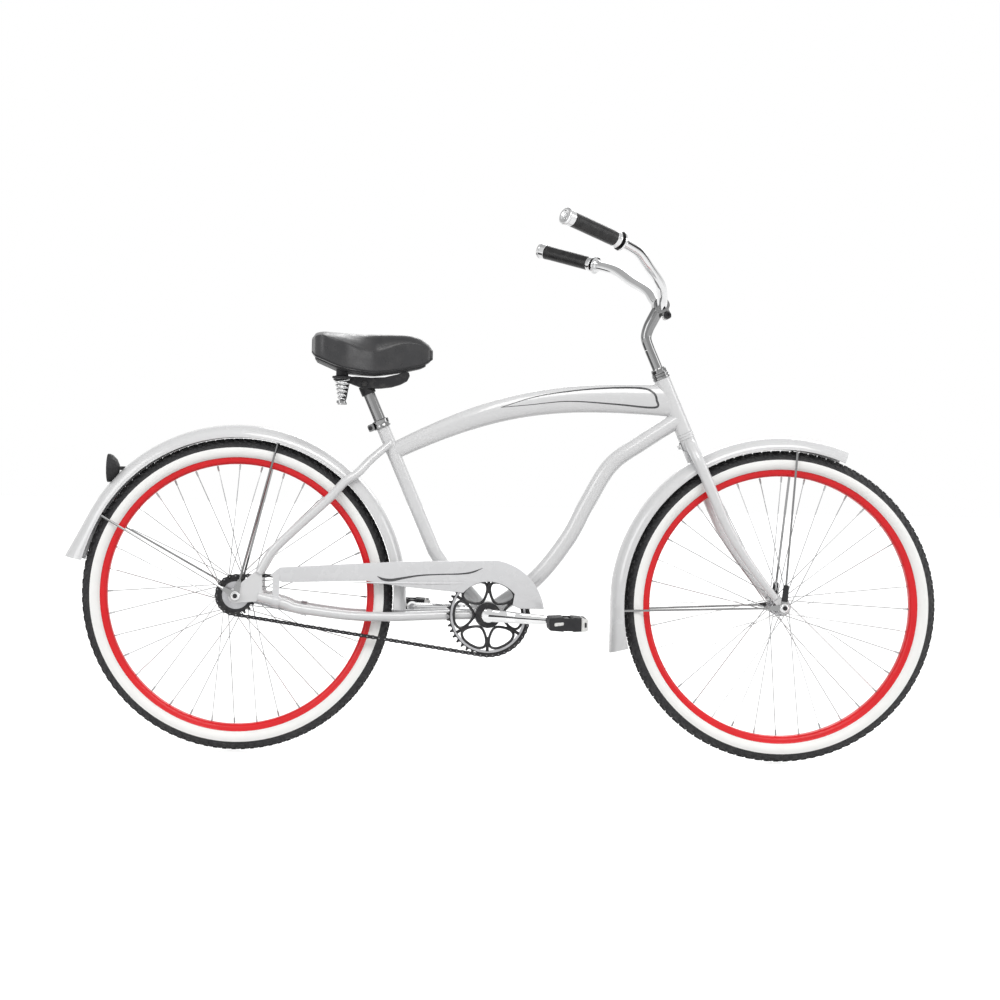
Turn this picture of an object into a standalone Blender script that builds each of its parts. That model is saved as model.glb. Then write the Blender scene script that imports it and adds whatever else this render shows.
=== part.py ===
"""Beach cruiser bicycle with a coaster brake, one named solid for each piece.

Metres, +X forward, +Z up, -Y the drive side. The wheels stand on z = 0, and the origin is
below the middle of the bicycle's outline.
"""
import math

import bmesh
import bpy
from mathutils import Matrix, Vector

MM = 0.001
CLEARANCE = 0.3 * MM
OVERRUN = 1.0 * MM
WELD_DISTANCE = 0.001 * MM
X_AXIS = Vector((1, 0, 0))
Y_AXIS = Vector((0, 1, 0))
Z_AXIS = Vector((0, 0, 1))

# Wheels
WHEELBASE = 1149.5 * MM
TYRE_RADIUS = 330 * MM
TYRE_HEIGHT = 40 * MM
TYRE_HALF_WIDTH = 26.5 * MM
RIM_DEPTH = 15 * MM
RIM_BED_DEPTH = 11 * MM
RIM_HALF_WIDTH = 17 * MM
RIM_BASE_HALF_WIDTH = 12 * MM
SPOKE_COUNT = 36
TYRE_STEPS = SPOKE_COUNT
SPOKE_RADIUS = 1.0 * MM
SPOKE_CROSSES = 3
AXLE_RADIUS = 5 * MM
NUT_RADIUS = 8.5 * MM
NUT_THICKNESS = 8 * MM
FRONT_DROPOUT_HALF = 50 * MM
FRONT_FLANGE_RADIUS = 19.5 * MM
FRONT_SHELL_RADIUS = 12.5 * MM
FRONT_FLANGE_Y = 30 * MM
REAR_DROPOUT_HALF = 55 * MM
REAR_FLANGE_RADIUS = 29 * MM
REAR_SHELL_RADIUS = 22 * MM
REAR_FLANGE_Y = 29 * MM
DROPOUT_THICKNESS = 5 * MM
STAY_EYE_THICKNESS = 2 * MM

# Fenders, as angles about their wheel's hub, from +X round over the top
FENDER_GAP = 24 * MM
FENDER_HALF_WIDTH = 33 * MM
FENDER_DEPTH = 21 * MM
FENDER_THICKNESS = 1.5 * MM
FENDER_RINGS = 16
FENDER_SPANS = 6
TAIL_FLARE = 16 * MM
TAIL_SPREAD = math.radians(16)
REAR_FENDER_FRONT = math.radians(-4.2)
REAR_FENDER_TAIL = math.radians(168.8)
FRONT_FENDER_FRONT = math.radians(67.4)
FRONT_FENDER_TAIL = math.radians(196.5)
FENDER_STAY_RADIUS = 2.5 * MM
REAR_STAY_UPPER = math.radians(76)
REAR_STAY_LOWER = math.radians(151)
FRONT_STAY_TOP = math.radians(85.3)
FRONT_STAY_REAR = math.radians(182.7)

# Drive
CHAIN_PITCH = 12.7 * MM
CHAIN_LINKS = 115
RING_TEETH = 42
COG_TEETH = 20
CHAIN_LINE_Y = -45 * MM
CHAIN_ROLLER_RADIUS = 3.9 * MM
CHAIN_HALF_WIDTH = 4.25 * MM
CHAIN_INNER_PLATE = 3.2 * MM
CHAIN_INNER_GAP = 1.85 * MM
CHAIN_OUTER_GAP = 2.9 * MM
TOOTH_THICKNESS = 3.0 * MM
TOOTH_HEIGHT = 3.2 * MM
BRACKET_DROP = 30 * MM
BRACKET_RADIUS = 28.5 * MM
BRACKET_HALF_WIDTH = 35 * MM
BRACKET_WALL = 3 * MM
CRANK_LENGTH = 158 * MM
CRANK_ANGLE = math.radians(-2.5)
CRANK_AXLE_RADIUS = 12 * MM
CRANK_HUB_HEIGHT = 27 * MM
CRANK_TIP_HEIGHT = 17 * MM
CRANK_THICKNESS = 11 * MM
CRANK_ARM_Y = 80 * MM
PEDAL_INNER_Y = 94 * MM
PEDAL_WIDTH = 86 * MM
PEDAL_LENGTH = 78 * MM
PEDAL_HEIGHT = 30 * MM
PEDAL_BARREL_RADIUS = 11 * MM
SPINDLE_RADIUS = 6.3 * MM
GUARD_Y = 60 * MM
GUARD_WALL = 2 * MM
GUARD_LIP = 6 * MM
GUARD_DISC_RADIUS = 117 * MM
GUARD_WINDOW_RADIUS = 71 * MM

# Steering
STEER_ANGLE = math.radians(66.2)
FORK_OFFSET = 45 * MM
HEAD_TUBE_LENGTH = 125 * MM
HEAD_TUBE_RADIUS = 17.5 * MM
HEAD_TUBE_BORE = 15 * MM
STEERER_RADIUS = 12.7 * MM
STEERER_BORE = 11.4 * MM
CROWN_GAP = 24 * MM
CROWN_HEIGHT = 26 * MM
CROWN_FLOOR = 12 * MM
CROWN_RADIUS = 17 * MM
HEADSET_CUP_RADIUS = 18.5 * MM
HEADSET_CUP_HEIGHT = 12 * MM
HEADSET_LOWER_HEIGHT = 11 * MM
HEADSET_NUT_HEIGHT = 12 * MM
BLADE_HALF_SPREAD = 47.5 * MM
BLADE_TOP_RADIUS = 12 * MM
BLADE_TIP_RADIUS = 7.5 * MM
RAKE_START = 220 * MM
RAKE_CURVE = 1.6

# Stem and handlebar
QUILL_RADIUS = 11.1 * MM
BAR_RADIUS = 11 * MM
CLAMP_RADIUS = 17 * MM
CLAMP_WIDTH = 38 * MM
BINDER_RADIUS = 4 * MM
GRIP_RADIUS = 15.5 * MM
GRIP_RIBS = 8
GRIP_RIB_HEIGHT = 1.2 * MM

# Frame tubes
TOP_TUBE_HEIGHT_HEAD = 67 * MM
TOP_TUBE_HEIGHT_SEAT = 37 * MM
DOWN_TUBE_RADIUS = 17.5 * MM
SEAT_TUBE_RADIUS = 14.3 * MM
SEAT_TUBE_BORE = 12.95 * MM
CHAINSTAY_RADIUS = 10 * MM
SEATSTAY_RADIUS = 9.5 * MM
BRIDGE_RADIUS = 6 * MM

# Seat
SEATPOST_RADIUS = 12.65 * MM
SPRING_TURNS = 5
SPRING_TOP_RADIUS = 15 * MM
SPRING_BOTTOM_RADIUS = 6 * MM
SPRING_WIRE_RADIUS = 1.75 * MM
RAIL_RADIUS = 3.5 * MM

# Sizes and places that follow from the sizes above
RIM_OUTER_RADIUS = TYRE_RADIUS - TYRE_HEIGHT
RIM_BED_RADIUS = RIM_OUTER_RADIUS - RIM_BED_DEPTH
RIM_INNER_RADIUS = RIM_OUTER_RADIUS - RIM_DEPTH
FENDER_RADIUS = TYRE_RADIUS + FENDER_GAP
CROWN_BOTTOM = FENDER_RADIUS + CROWN_GAP
CROWN_TOP = CROWN_BOTTOM + CROWN_HEIGHT
HEAD_TUBE_BOTTOM = CROWN_TOP + HEADSET_LOWER_HEIGHT
HEAD_TUBE_TOP = HEAD_TUBE_BOTTOM + HEAD_TUBE_LENGTH
TAIL_REACH = (FENDER_RADIUS + TAIL_FLARE) * -math.cos(REAR_FENDER_TAIL)
REAR_HUB = Vector((-(WHEELBASE + TYRE_RADIUS - TAIL_REACH) / 2, 0, TYRE_RADIUS))
FRONT_HUB = REAR_HUB + X_AXIS * WHEELBASE
RING_PITCH_RADIUS = CHAIN_PITCH / 2 / math.sin(math.pi / RING_TEETH)
COG_PITCH_RADIUS = CHAIN_PITCH / 2 / math.sin(math.pi / COG_TEETH)
STEER_UP = Vector((-math.cos(STEER_ANGLE), 0, math.sin(STEER_ANGLE)))
STEER_FORWARD = Vector((math.sin(STEER_ANGLE), 0, math.cos(STEER_ANGLE)))
STEER_ANGLE_WORLD = math.pi - STEER_ANGLE
STEER_FOOT = FRONT_HUB - STEER_FORWARD * FORK_OFFSET


def steer(along, forward=0.0, side=0.0):
    """A point given along the steering axis, in front of it and to the side."""
    return STEER_FOOT + STEER_UP * along + STEER_FORWARD * forward + Y_AXIS * side


def fresh_scene():
    for item in list(bpy.data.objects):
        bpy.data.objects.remove(item)
    made = []
    for name in ("bicycle", "bicycle_cutters"):
        collection = bpy.data.collections.new(name)
        bpy.context.scene.collection.children.link(collection)
        made.append(collection)
    return made


PARTS, CUTTERS = fresh_scene()


def paint(name, colour, roughness, metallic=0.0):
    material = bpy.data.materials.new(name)
    material.use_nodes = True
    shader = material.node_tree.nodes["Principled BSDF"]
    shader.inputs["Base Color"].default_value = (*colour, 1)
    shader.inputs["Roughness"].default_value = roughness
    shader.inputs["Metallic"].default_value = metallic
    material.diffuse_color = (*colour, 1)
    return material


WHITE_PAINT = paint("white_paint", (0.82, 0.83, 0.82), 0.25)
GUARD_PAINT = paint("guard_paint", (0.62, 0.66, 0.68), 0.3)
RED_PAINT = paint("red_paint", (0.55, 0.02, 0.03), 0.3)
CHROME = paint("chrome", (0.75, 0.76, 0.78), 0.12, 1.0)
STEEL = paint("steel", (0.5, 0.51, 0.53), 0.35, 1.0)
BLACK_STEEL = paint("black_steel", (0.02, 0.02, 0.022), 0.4, 0.6)
BLACK_PLASTIC = paint("black_plastic", (0.015, 0.015, 0.017), 0.5)
TYRE_RUBBER = paint("tyre_rubber", (0.03, 0.03, 0.033), 0.85)
COVER_VINYL = paint("cover_vinyl", (0.02, 0.02, 0.022), 0.45)


def new_object(name, mesh, material, collection=None):
    thing = bpy.data.objects.new(name, mesh)
    (collection or PARTS).objects.link(thing)
    mesh.materials.clear()
    if material:
        mesh.materials.append(material)
    return thing


def hide_cutter(thing):
    """A cutter stays out of the render, in its own collection."""
    for collection in list(thing.users_collection):
        collection.objects.unlink(thing)
    CUTTERS.objects.link(thing)
    thing.hide_render = True
    thing.display_type = "WIRE"
    return thing


def boolean(target, tool, operation):
    modifier = target.modifiers.new(tool.name, "BOOLEAN")
    modifier.operation = operation
    modifier.solver = "EXACT"
    modifier.object = hide_cutter(tool)
    return target


def cut(target, *tools):
    for tool in tools:
        boolean(target, tool, "DIFFERENCE")
    return target


def join(target, *tools):
    for tool in tools:
        boolean(target, tool, "UNION")
    return target


def axis_frame(origin, direction, upright=None):
    """A matrix whose Z runs along direction and whose Y lies near upright."""
    z_side = direction.normalized()
    guide = upright or (X_AXIS if abs(z_side.x) < 0.9 else Z_AXIS)
    x_side = guide.cross(z_side).normalized()
    y_side = z_side.cross(x_side)
    turn = Matrix((x_side, y_side, z_side)).transposed().to_4x4()
    return Matrix.Translation(origin) @ turn


def turned(name, profile, origin, axis, material, steps=24):
    """A closed profile of (radius, height) points turned about an axis through origin."""
    area = sum(a[0] * b[1] - b[0] * a[1] for a, b in zip(profile, profile[1:] + profile[:1]))
    points = profile if area < 0 else profile[::-1]
    on_axis = [i for i, point in enumerate(points) if point[0] == 0]
    if on_axis:
        start = next(i for i in on_axis if points[i - 1][0] == 0)
        points = points[start:] + points[:start]
    count = len(points)
    edges = [(i, i + 1) for i in range(count - 1)]
    if not on_axis:
        edges.append((count - 1, 0))
    mesh = bpy.data.meshes.new(name)
    mesh.from_pydata([(radius, 0, height) for radius, height in points], edges, [])
    thing = new_object(name, mesh, material)
    thing.matrix_world = axis_frame(origin, axis)
    screw = thing.modifiers.new("Screw", "SCREW")
    screw.steps = steps
    screw.render_steps = steps
    screw.use_merge_vertices = True
    screw.merge_threshold = WELD_DISTANCE * 10
    return thing


def rod(name, start, end, radius, material, sides=16, end_radius=None):
    """A straight round bar or cone between two points."""
    mesh = bpy.data.meshes.new(name)
    shape = bmesh.new()
    length = (end - start).length
    tip = radius if end_radius is None else end_radius
    bmesh.ops.create_cone(shape, cap_ends=True, segments=sides, radius1=radius,
                          radius2=tip, depth=length)
    shape.to_mesh(mesh)
    shape.free()
    thing = new_object(name, mesh, material)
    thing.matrix_world = axis_frame((start + end) / 2, end - start)
    return thing


def box(name, centre, size, material, turn=None):
    mesh = bpy.data.meshes.new(name)
    shape = bmesh.new()
    bmesh.ops.create_cube(shape, size=1.0)
    bmesh.ops.scale(shape, vec=size, verts=shape.verts)
    shape.to_mesh(mesh)
    shape.free()
    thing = new_object(name, mesh, material)
    thing.matrix_world = Matrix.Translation(centre) @ (turn or Matrix.Identity(4))
    return thing


def realised(curve_object):
    """The curve's evaluated surface as a welded mesh object that takes its place."""
    bpy.context.view_layer.update()
    graph = bpy.context.evaluated_depsgraph_get()
    mesh = bpy.data.meshes.new_from_object(curve_object.evaluated_get(graph))
    shape = bmesh.new()
    shape.from_mesh(mesh)
    bmesh.ops.remove_doubles(shape, verts=shape.verts, dist=WELD_DISTANCE)
    bmesh.ops.recalc_face_normals(shape, faces=shape.faces)
    shape.to_mesh(mesh)
    shape.free()
    name = curve_object.name
    material = curve_object.data.materials[0] if curve_object.data.materials else None
    place = curve_object.matrix_world.copy()
    curve = curve_object.data
    bpy.data.objects.remove(curve_object)
    bpy.data.curves.remove(curve)
    thing = new_object(name, mesh, material)
    thing.matrix_world = place
    return thing


def smooth_path(points, spans=4):
    """Points of a Catmull-Rom curve through the given points."""
    ends = [points[0] * 2 - points[1], *points, points[-1] * 2 - points[-2]]
    path = []
    for a, b, c, d in zip(ends, ends[1:], ends[2:], ends[3:]):
        for step in range(spans):
            t = step / spans
            path.append((b * 2 + (c - a) * t + (a * 2 - b * 5 + c * 4 - d) * t * t
                         + (b * 3 - a - c * 3 + d) * t ** 3) / 2)
    path.append(points[-1])
    return path


def tube(name, points, radius, material, sides=12, radii=None, closed=False):
    """A round tube, solid through, along the points. radii holds a share for each point."""
    curve = bpy.data.curves.new(name, "CURVE")
    curve.dimensions = "3D"
    curve.bevel_depth = radius
    curve.bevel_resolution = (sides - 4) // 2
    curve.use_fill_caps = not closed
    spline = curve.splines.new("POLY")
    spline.points.add(len(points) - 1)
    spline.use_cyclic_u = closed
    for i, point in enumerate(points):
        spline.points[i].co = (*point, 1)
        spline.points[i].radius = radii[i] if radii else 1.0
    curve.materials.append(material)
    thing = bpy.data.objects.new(name, curve)
    PARTS.objects.link(thing)
    return realised(thing)


def plate(name, outlines, thickness, place, material):
    """A flat plate: the first closed outline of (x, y) points, less the others."""
    curve = bpy.data.curves.new(name, "CURVE")
    curve.dimensions = "2D"
    curve.fill_mode = "BOTH"
    curve.extrude = thickness / 2
    for outline in outlines:
        spline = curve.splines.new("POLY")
        spline.points.add(len(outline) - 1)
        spline.use_cyclic_u = True
        for i, (x, y) in enumerate(outline):
            spline.points[i].co = (x, y, 0, 1)
    curve.materials.append(material)
    thing = bpy.data.objects.new(name, curve)
    PARTS.objects.link(thing)
    thing.matrix_world = place
    return realised(thing)


def side_plate(name, outlines, y, thickness, material):
    """A plate standing in a plane of constant y, its outlines given as (x, z)."""
    place = Matrix(((1, 0, 0, 0), (0, 0, -1, y), (0, 1, 0, 0), (0, 0, 0, 1)))
    return plate(name, outlines, thickness, place, material)


def loft(name, rings, material, closed=False):
    """A skin over rings of as many points each, capped at both ends unless closed."""
    mesh = bpy.data.meshes.new(name)
    shape = bmesh.new()
    rows = [[shape.verts.new(point) for point in ring] for ring in rings]
    pairs = list(zip(rows, rows[1:] + rows[:1])) if closed else list(zip(rows, rows[1:]))
    for first, second in pairs:
        for i in range(len(first)):
            j = (i + 1) % len(first)
            shape.faces.new((first[i], first[j], second[j], second[i]))
    if not closed:
        shape.faces.new(rows[0])
        shape.faces.new(rows[-1])
    bmesh.ops.recalc_face_normals(shape, faces=shape.faces)
    shape.to_mesh(mesh)
    shape.free()
    return new_object(name, mesh, material)


def arc(centre, radius, start, end, steps):
    """Points (x, y) on an arc, the ends included; the angles are in radians."""
    angles = [start + (end - start) * i / steps for i in range(steps + 1)]
    return [(centre[0] + radius * math.cos(a), centre[1] + radius * math.sin(a))
            for a in angles]


def bore_radius(radius, sides):
    """The corner radius of a bore whose flats stay clear of a round piece."""
    return (radius + CLEARANCE) / math.cos(math.pi / sides)


def circle(centre, radius, steps):
    return arc(centre, radius, 0, math.tau * (steps - 1) / steps, steps - 1)


def pivot(name, place, axis, parent=None):
    """An empty on a joint's axis, its Z along the axis."""
    empty = bpy.data.objects.new(name, None)
    PARTS.objects.link(empty)
    empty.empty_display_size = 20 * MM
    empty.matrix_world = axis_frame(place, axis)
    if parent:
        attach(empty, parent)
    return empty


def attach(thing, parent):
    """Parents thing without moving it."""
    bpy.context.view_layer.update()
    thing.parent = parent
    thing.matrix_parent_inverse = parent.matrix_world.inverted()


# Wheels

def ellipse_section(centre_radius, rise, half_width, first, last, steps):
    """Points (radius, y) of an ellipse about the tyre's middle, by angle in degrees."""
    angles = [math.radians(first + (last - first) * i / steps) for i in range(steps + 1)]
    return [(centre_radius + rise * math.sin(a), half_width * math.cos(a)) for a in angles]


TYRE_ARC = (-30, 210)


def tyre_profile():
    rise = (TYRE_RADIUS - RIM_OUTER_RADIUS) * 0.62
    outside = ellipse_section(TYRE_RADIUS - rise, rise, TYRE_HALF_WIDTH, *TYRE_ARC, 6)
    bead = RIM_HALF_WIDTH - CLEARANCE * 1.5
    foot = RIM_BASE_HALF_WIDTH - RIM_WALL - CLEARANCE
    seat = RIM_BED_RADIUS + CLEARANCE
    return [(seat, foot), (RIM_OUTER_RADIUS, bead), *outside[1:-1],
            (RIM_OUTER_RADIUS, -bead), (seat, -foot)]


RIM_WALL = 1.2 * MM


def rim_profile():
    half = [(RIM_INNER_RADIUS, RIM_BASE_HALF_WIDTH), (RIM_OUTER_RADIUS, RIM_HALF_WIDTH),
            (RIM_BED_RADIUS, RIM_BASE_HALF_WIDTH - RIM_WALL)]
    return half + [(radius, -y) for radius, y in reversed(half)]


def spoke_mesh(hub, flange_y, flange_radius):
    """All spokes of a wheel in one mesh, laced so that each crosses three others."""
    per_side = SPOKE_COUNT // 2
    step = math.tau / per_side
    shape = bmesh.new()
    hole_radius = flange_radius - 3 * MM
    for side in (-1, 1):
        for i in range(per_side):
            leading = 1 if i % 2 == 0 else -1
            at_hub = step * (i + (0.5 if side > 0 else 0))
            at_rim = at_hub + leading * step * SPOKE_CROSSES
            inner_y = side * flange_y + leading * SPOKE_OFFSET
            start = Vector((hole_radius * math.cos(at_hub), inner_y, hole_radius * math.sin(at_hub)))
            reach = RIM_INNER_RADIUS - CLEARANCE - SPOKE_RADIUS * 0.2
            end = Vector((reach * math.cos(at_rim), side * SPOKE_RIM_Y, reach * math.sin(at_rim)))
            place = axis_frame((start + end) / 2, end - start, Y_AXIS)
            bmesh.ops.create_cone(shape, cap_ends=True, segments=3, radius1=SPOKE_RADIUS,
                                  radius2=SPOKE_RADIUS, depth=(end - start).length, matrix=place)
    mesh = bpy.data.meshes.new("spokes")
    shape.to_mesh(mesh)
    shape.free()
    spokes = new_object("spokes", mesh, None)
    spokes.matrix_world = Matrix.Translation(hub)
    return spokes


SPOKE_OFFSET = 2.0 * MM
SPOKE_RIM_Y = 3.0 * MM
FLANGE_THICKNESS = 6.0 * MM


def hub_shell(name, hub, flange_y, flange_radius, shell_radius, right_end, left_end, end_radius):
    bore = bore_radius(AXLE_RADIUS, 12)
    half = FLANGE_THICKNESS / 2
    profile = [(bore, right_end), (end_radius, right_end), (end_radius, -flange_y - half),
               (flange_radius, -flange_y - half), (flange_radius, -flange_y + half),
               (shell_radius, -flange_y + half), (shell_radius, flange_y - half),
               (flange_radius, flange_y - half), (flange_radius, flange_y + half),
               (end_radius, flange_y + half), (end_radius, left_end), (bore, left_end)]
    shell = turned(name, profile, hub, Y_AXIS, STEEL, 12)
    return join(shell, spoke_mesh(hub, flange_y, flange_radius))


def wheel(prefix, hub, spin, shell):
    tyre = turned(prefix + "_tyre", tyre_profile(), hub, Y_AXIS, TYRE_RUBBER, TYRE_STEPS)
    rim = turned(prefix + "_rim", rim_profile(), hub, Y_AXIS, RED_PAINT, TYRE_STEPS)
    for piece in (tyre, rim, shell):
        attach(piece, spin)


def nut_profile(start, end, radius, bore):
    return [(bore, start), (radius, start), (radius, end), (bore, end)]


def axle(name, hub, dropout_half, outer_half, collar_right, collar_left):
    """A threaded axle with the cones inside the dropouts and a hex nut on each side."""
    rod_end = outer_half + NUT_THICKNESS + 4 * MM
    piece = rod(name, hub - Y_AXIS * rod_end, hub + Y_AXIS * rod_end, AXLE_RADIUS, STEEL, 10)
    inside = dropout_half - CLEARANCE
    for tag, start, end in (("right", -inside, collar_right), ("left", collar_left, inside)):
        join(piece, rod(f"{name}_cone_{tag}", hub + Y_AXIS * start, hub + Y_AXIS * end,
                        NUT_RADIUS - 1 * MM, STEEL, 10))
    for side in (-1, 1):
        inner = hub + Y_AXIS * side * (outer_half + CLEARANCE)
        outer = inner + Y_AXIS * side * NUT_THICKNESS
        join(piece, rod(f"{name}_nut", inner, outer, NUT_RADIUS, STEEL, 6))
    return piece


# Fenders and their stays

def fender_ring(hub, angle, flare):
    """The closed section of a fender at an angle about its hub."""
    outward = Vector((math.cos(angle), 0, math.sin(angle)))
    skirt = FENDER_RADIUS - FENDER_DEPTH + flare * 0.2
    turns = [math.pi * (i / FENDER_SPANS - 0.5) for i in range(FENDER_SPANS + 1)]
    points = []
    for wall, order in ((0.0, turns), (FENDER_THICKNESS, turns[::-1])):
        rise = FENDER_DEPTH + flare * 0.8 - wall
        width = FENDER_HALF_WIDTH - wall
        for turn in order:
            radius = skirt + rise * math.cos(turn)
            points.append(hub + outward * radius + Y_AXIS * width * math.sin(turn))
    return points


def ring_angles(front, tail, seats):
    """Even angles, the nearest one moved to each place where another piece seats."""
    angles = [front + (tail - front) * i / FENDER_RINGS for i in range(FENDER_RINGS + 1)]
    for seat in seats:
        nearest = min(range(1, FENDER_RINGS), key=lambda i: abs(angles[i] - seat))
        angles[nearest] = seat
    return angles


def fender(name, hub, front, tail, seats):
    rings = []
    for angle in ring_angles(front, tail, seats):
        share = max(0.0, 1 - (tail - angle) / TAIL_SPREAD)
        rings.append(fender_ring(hub, angle, TAIL_FLARE * share ** 2))
    return loft(name, rings, WHITE_PAINT)


def fender_stay(name, hub, angle, eye_y):
    """A wire stay: an eye on each axle end, and one bend inside the fender."""
    outward = Vector((math.cos(angle), 0, math.sin(angle)))
    across = Vector((-math.sin(angle), 0, math.cos(angle)))
    inset = FENDER_THICKNESS + 3 * CLEARANCE + FENDER_STAY_RADIUS
    skirt = FENDER_RADIUS - FENDER_DEPTH
    arch = []
    steps = FENDER_SPANS
    for i in range(steps + 1):
        turn = math.pi * (i / steps - 0.5)
        radius = skirt + (FENDER_DEPTH - inset) * math.cos(turn)
        arch.append(hub + outward * radius + Y_AXIS * (FENDER_HALF_WIDTH - inset) * math.sin(turn))
    start = hub + outward * STAY_STRIP
    path = [start - Y_AXIS * eye_y, *arch, start + Y_AXIS * eye_y]
    stay = tube(name, path, FENDER_STAY_RADIUS, CHROME, 6)
    for side in (-1, 1):
        strip_end = outward * (STAY_STRIP + 4 * MM)
        edge = across * STAY_STRIP_HALF
        base = outward * AXLE_RADIUS
        round_end = math.atan2(across.z, across.x)
        eye = arc((0, 0), STAY_EYE_RADIUS, round_end + 0.42, round_end + math.pi - 0.42, 4)
        outline = [(strip_end - edge).xz, (strip_end + edge).xz, *[Vector(point) for point in eye]]
        moved = [(point[0] + hub.x, point[1] + hub.z) for point in outline]
        hole = circle((hub.x, hub.z), bore_radius(AXLE_RADIUS, 8), 8)
        join(stay, side_plate(f"{name}_eye", [moved, hole], side * eye_y,
                              STAY_EYE_THICKNESS, CHROME))
    return stay


STAY_STRIP = 30 * MM
STAY_STRIP_HALF = 3.5 * MM
STAY_EYE_RADIUS = 9 * MM


# Drive: the chain line decides how far the cranks lie from the rear hub

def straight_run(centres):
    return math.sqrt(centres ** 2 - (RING_PITCH_RADIUS - COG_PITCH_RADIUS) ** 2)


def wrap_pitches(centres):
    """How many pitches lie on the ring and on the cog."""
    lean = math.asin((RING_PITCH_RADIUS - COG_PITCH_RADIUS) / centres)
    on_ring = RING_TEETH * (math.pi + 2 * lean) / math.tau
    on_cog = COG_TEETH * (math.pi - 2 * lean) / math.tau
    return on_ring, on_cog


def centre_distance():
    """The distance at which a chain of CHAIN_LINKS pitches closes."""
    low = RING_PITCH_RADIUS + COG_PITCH_RADIUS
    high = CHAIN_PITCH * CHAIN_LINKS
    for _ in range(60):
        middle = (low + high) / 2
        pitches = 2 * straight_run(middle) / CHAIN_PITCH + sum(wrap_pitches(middle))
        if pitches < CHAIN_LINKS:
            low = middle
        else:
            high = middle
    return low


CENTRES = centre_distance()
BRACKET = REAR_HUB + Vector((math.sqrt(CENTRES ** 2 - BRACKET_DROP ** 2), 0, -BRACKET_DROP))
CHAIN_LEAN = math.asin((RING_PITCH_RADIUS - COG_PITCH_RADIUS) / CENTRES)
CHAIN_RUN = straight_run(CENTRES) / CHAIN_PITCH
ON_RING, ON_COG = wrap_pitches(CENTRES)
CHAIN_FORWARD = (BRACKET - REAR_HUB).normalized()
CHAIN_UP = Vector((-CHAIN_FORWARD.z, 0, CHAIN_FORWARD.x))
UPPER_OUT = CHAIN_UP * math.cos(CHAIN_LEAN) - CHAIN_FORWARD * math.sin(CHAIN_LEAN)
LOWER_OUT = -CHAIN_UP * math.cos(CHAIN_LEAN) - CHAIN_FORWARD * math.sin(CHAIN_LEAN)


def forward_turn(vector, angle):
    """The vector turned in the bicycle's plane, the way that a wheel rolls forward."""
    cosine, sine = math.cos(angle), math.sin(angle)
    return Vector((vector.x * cosine + vector.z * sine, 0, vector.z * cosine - vector.x * sine))


def chain_point(pitches):
    """Place on the pitch line and the way out of the loop there, counted in pitches."""
    rest = pitches % CHAIN_LINKS
    upper_start = REAR_HUB + UPPER_OUT * COG_PITCH_RADIUS
    upper_end = BRACKET + UPPER_OUT * RING_PITCH_RADIUS
    lower_start = BRACKET + LOWER_OUT * RING_PITCH_RADIUS
    lower_end = REAR_HUB + LOWER_OUT * COG_PITCH_RADIUS
    if rest < CHAIN_RUN:
        return upper_start.lerp(upper_end, rest / CHAIN_RUN), UPPER_OUT
    rest -= CHAIN_RUN
    if rest < ON_RING:
        outward = forward_turn(UPPER_OUT, rest * math.tau / RING_TEETH)
        return BRACKET + outward * RING_PITCH_RADIUS, outward
    rest -= ON_RING
    if rest < CHAIN_RUN:
        return lower_start.lerp(lower_end, rest / CHAIN_RUN), LOWER_OUT
    rest -= CHAIN_RUN
    outward = forward_turn(LOWER_OUT, rest * math.tau / COG_TEETH)
    return REAR_HUB + outward * COG_PITCH_RADIUS, outward


CHAIN_BLOCK_SHARE = 0.307


def chain():
    """One closed loop: a block for each pin and roller, and two side plates between blocks.

    Narrow and wide links alternate. The count is odd, so the last link is a cranked one,
    wide at one end and narrow at the other.
    """
    narrow = (CHAIN_INNER_GAP, CHAIN_INNER_PLATE)
    wide = (CHAIN_OUTER_GAP, CHAIN_HALF_WIDTH)
    shape = bmesh.new()
    ends = []
    for pin in range(CHAIN_LINKS):
        before = wide if pin == 0 or pin % 2 == 0 else narrow
        after = narrow if pin % 2 == 0 else wide
        ends.append([chain_face(shape, pin - CHAIN_BLOCK_SHARE, before),
                     chain_face(shape, pin + CHAIN_BLOCK_SHARE, after)])
    for pin in range(CHAIN_LINKS):
        close_block(shape, *ends[pin])
        join_plates(shape, ends[pin][1], ends[(pin + 1) % CHAIN_LINKS][0])
    bmesh.ops.recalc_face_normals(shape, faces=shape.faces)
    mesh = bpy.data.meshes.new("chain")
    shape.to_mesh(mesh)
    shape.free()
    return new_object("chain", mesh, BLACK_STEEL)


def chain_face(shape, pitches, gaps):
    """The corners of a block's end: rows of corners outside and inside the loop."""
    place, outward = chain_point(pitches)
    inner, outer = gaps
    rows = []
    for lift in (CHAIN_ROLLER_RADIUS, -CHAIN_ROLLER_RADIUS):
        line = [place + outward * lift + Y_AXIS * (CHAIN_LINE_Y + level)
                for level in (-outer, -inner, inner, outer)]
        rows.append([shape.verts.new(point) for point in line])
    return rows


def close_block(shape, first, second):
    """The faces of the block round a pin, which runs from a narrow link into a wide one."""
    for rows in (first, second):
        shape.faces.new((rows[0][1], rows[0][2], rows[1][2], rows[1][1]))
    for row in (0, 1):
        shape.faces.new(first[row] + second[row][::-1])
    for end in (0, 3):
        shape.faces.new((first[0][end], second[0][end], second[1][end], first[1][end]))


def join_plates(shape, first, second):
    """The two side plates from one block's end to the next."""
    for near, far in ((0, 1), (2, 3)):
        start, end = [(rows[0][near], rows[0][far], rows[1][far], rows[1][near])
                      for rows in (first, second)]
        for i in range(4):
            j = (i + 1) % 4
            shape.faces.new((start[i], start[j], end[j], end[i]))


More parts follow.
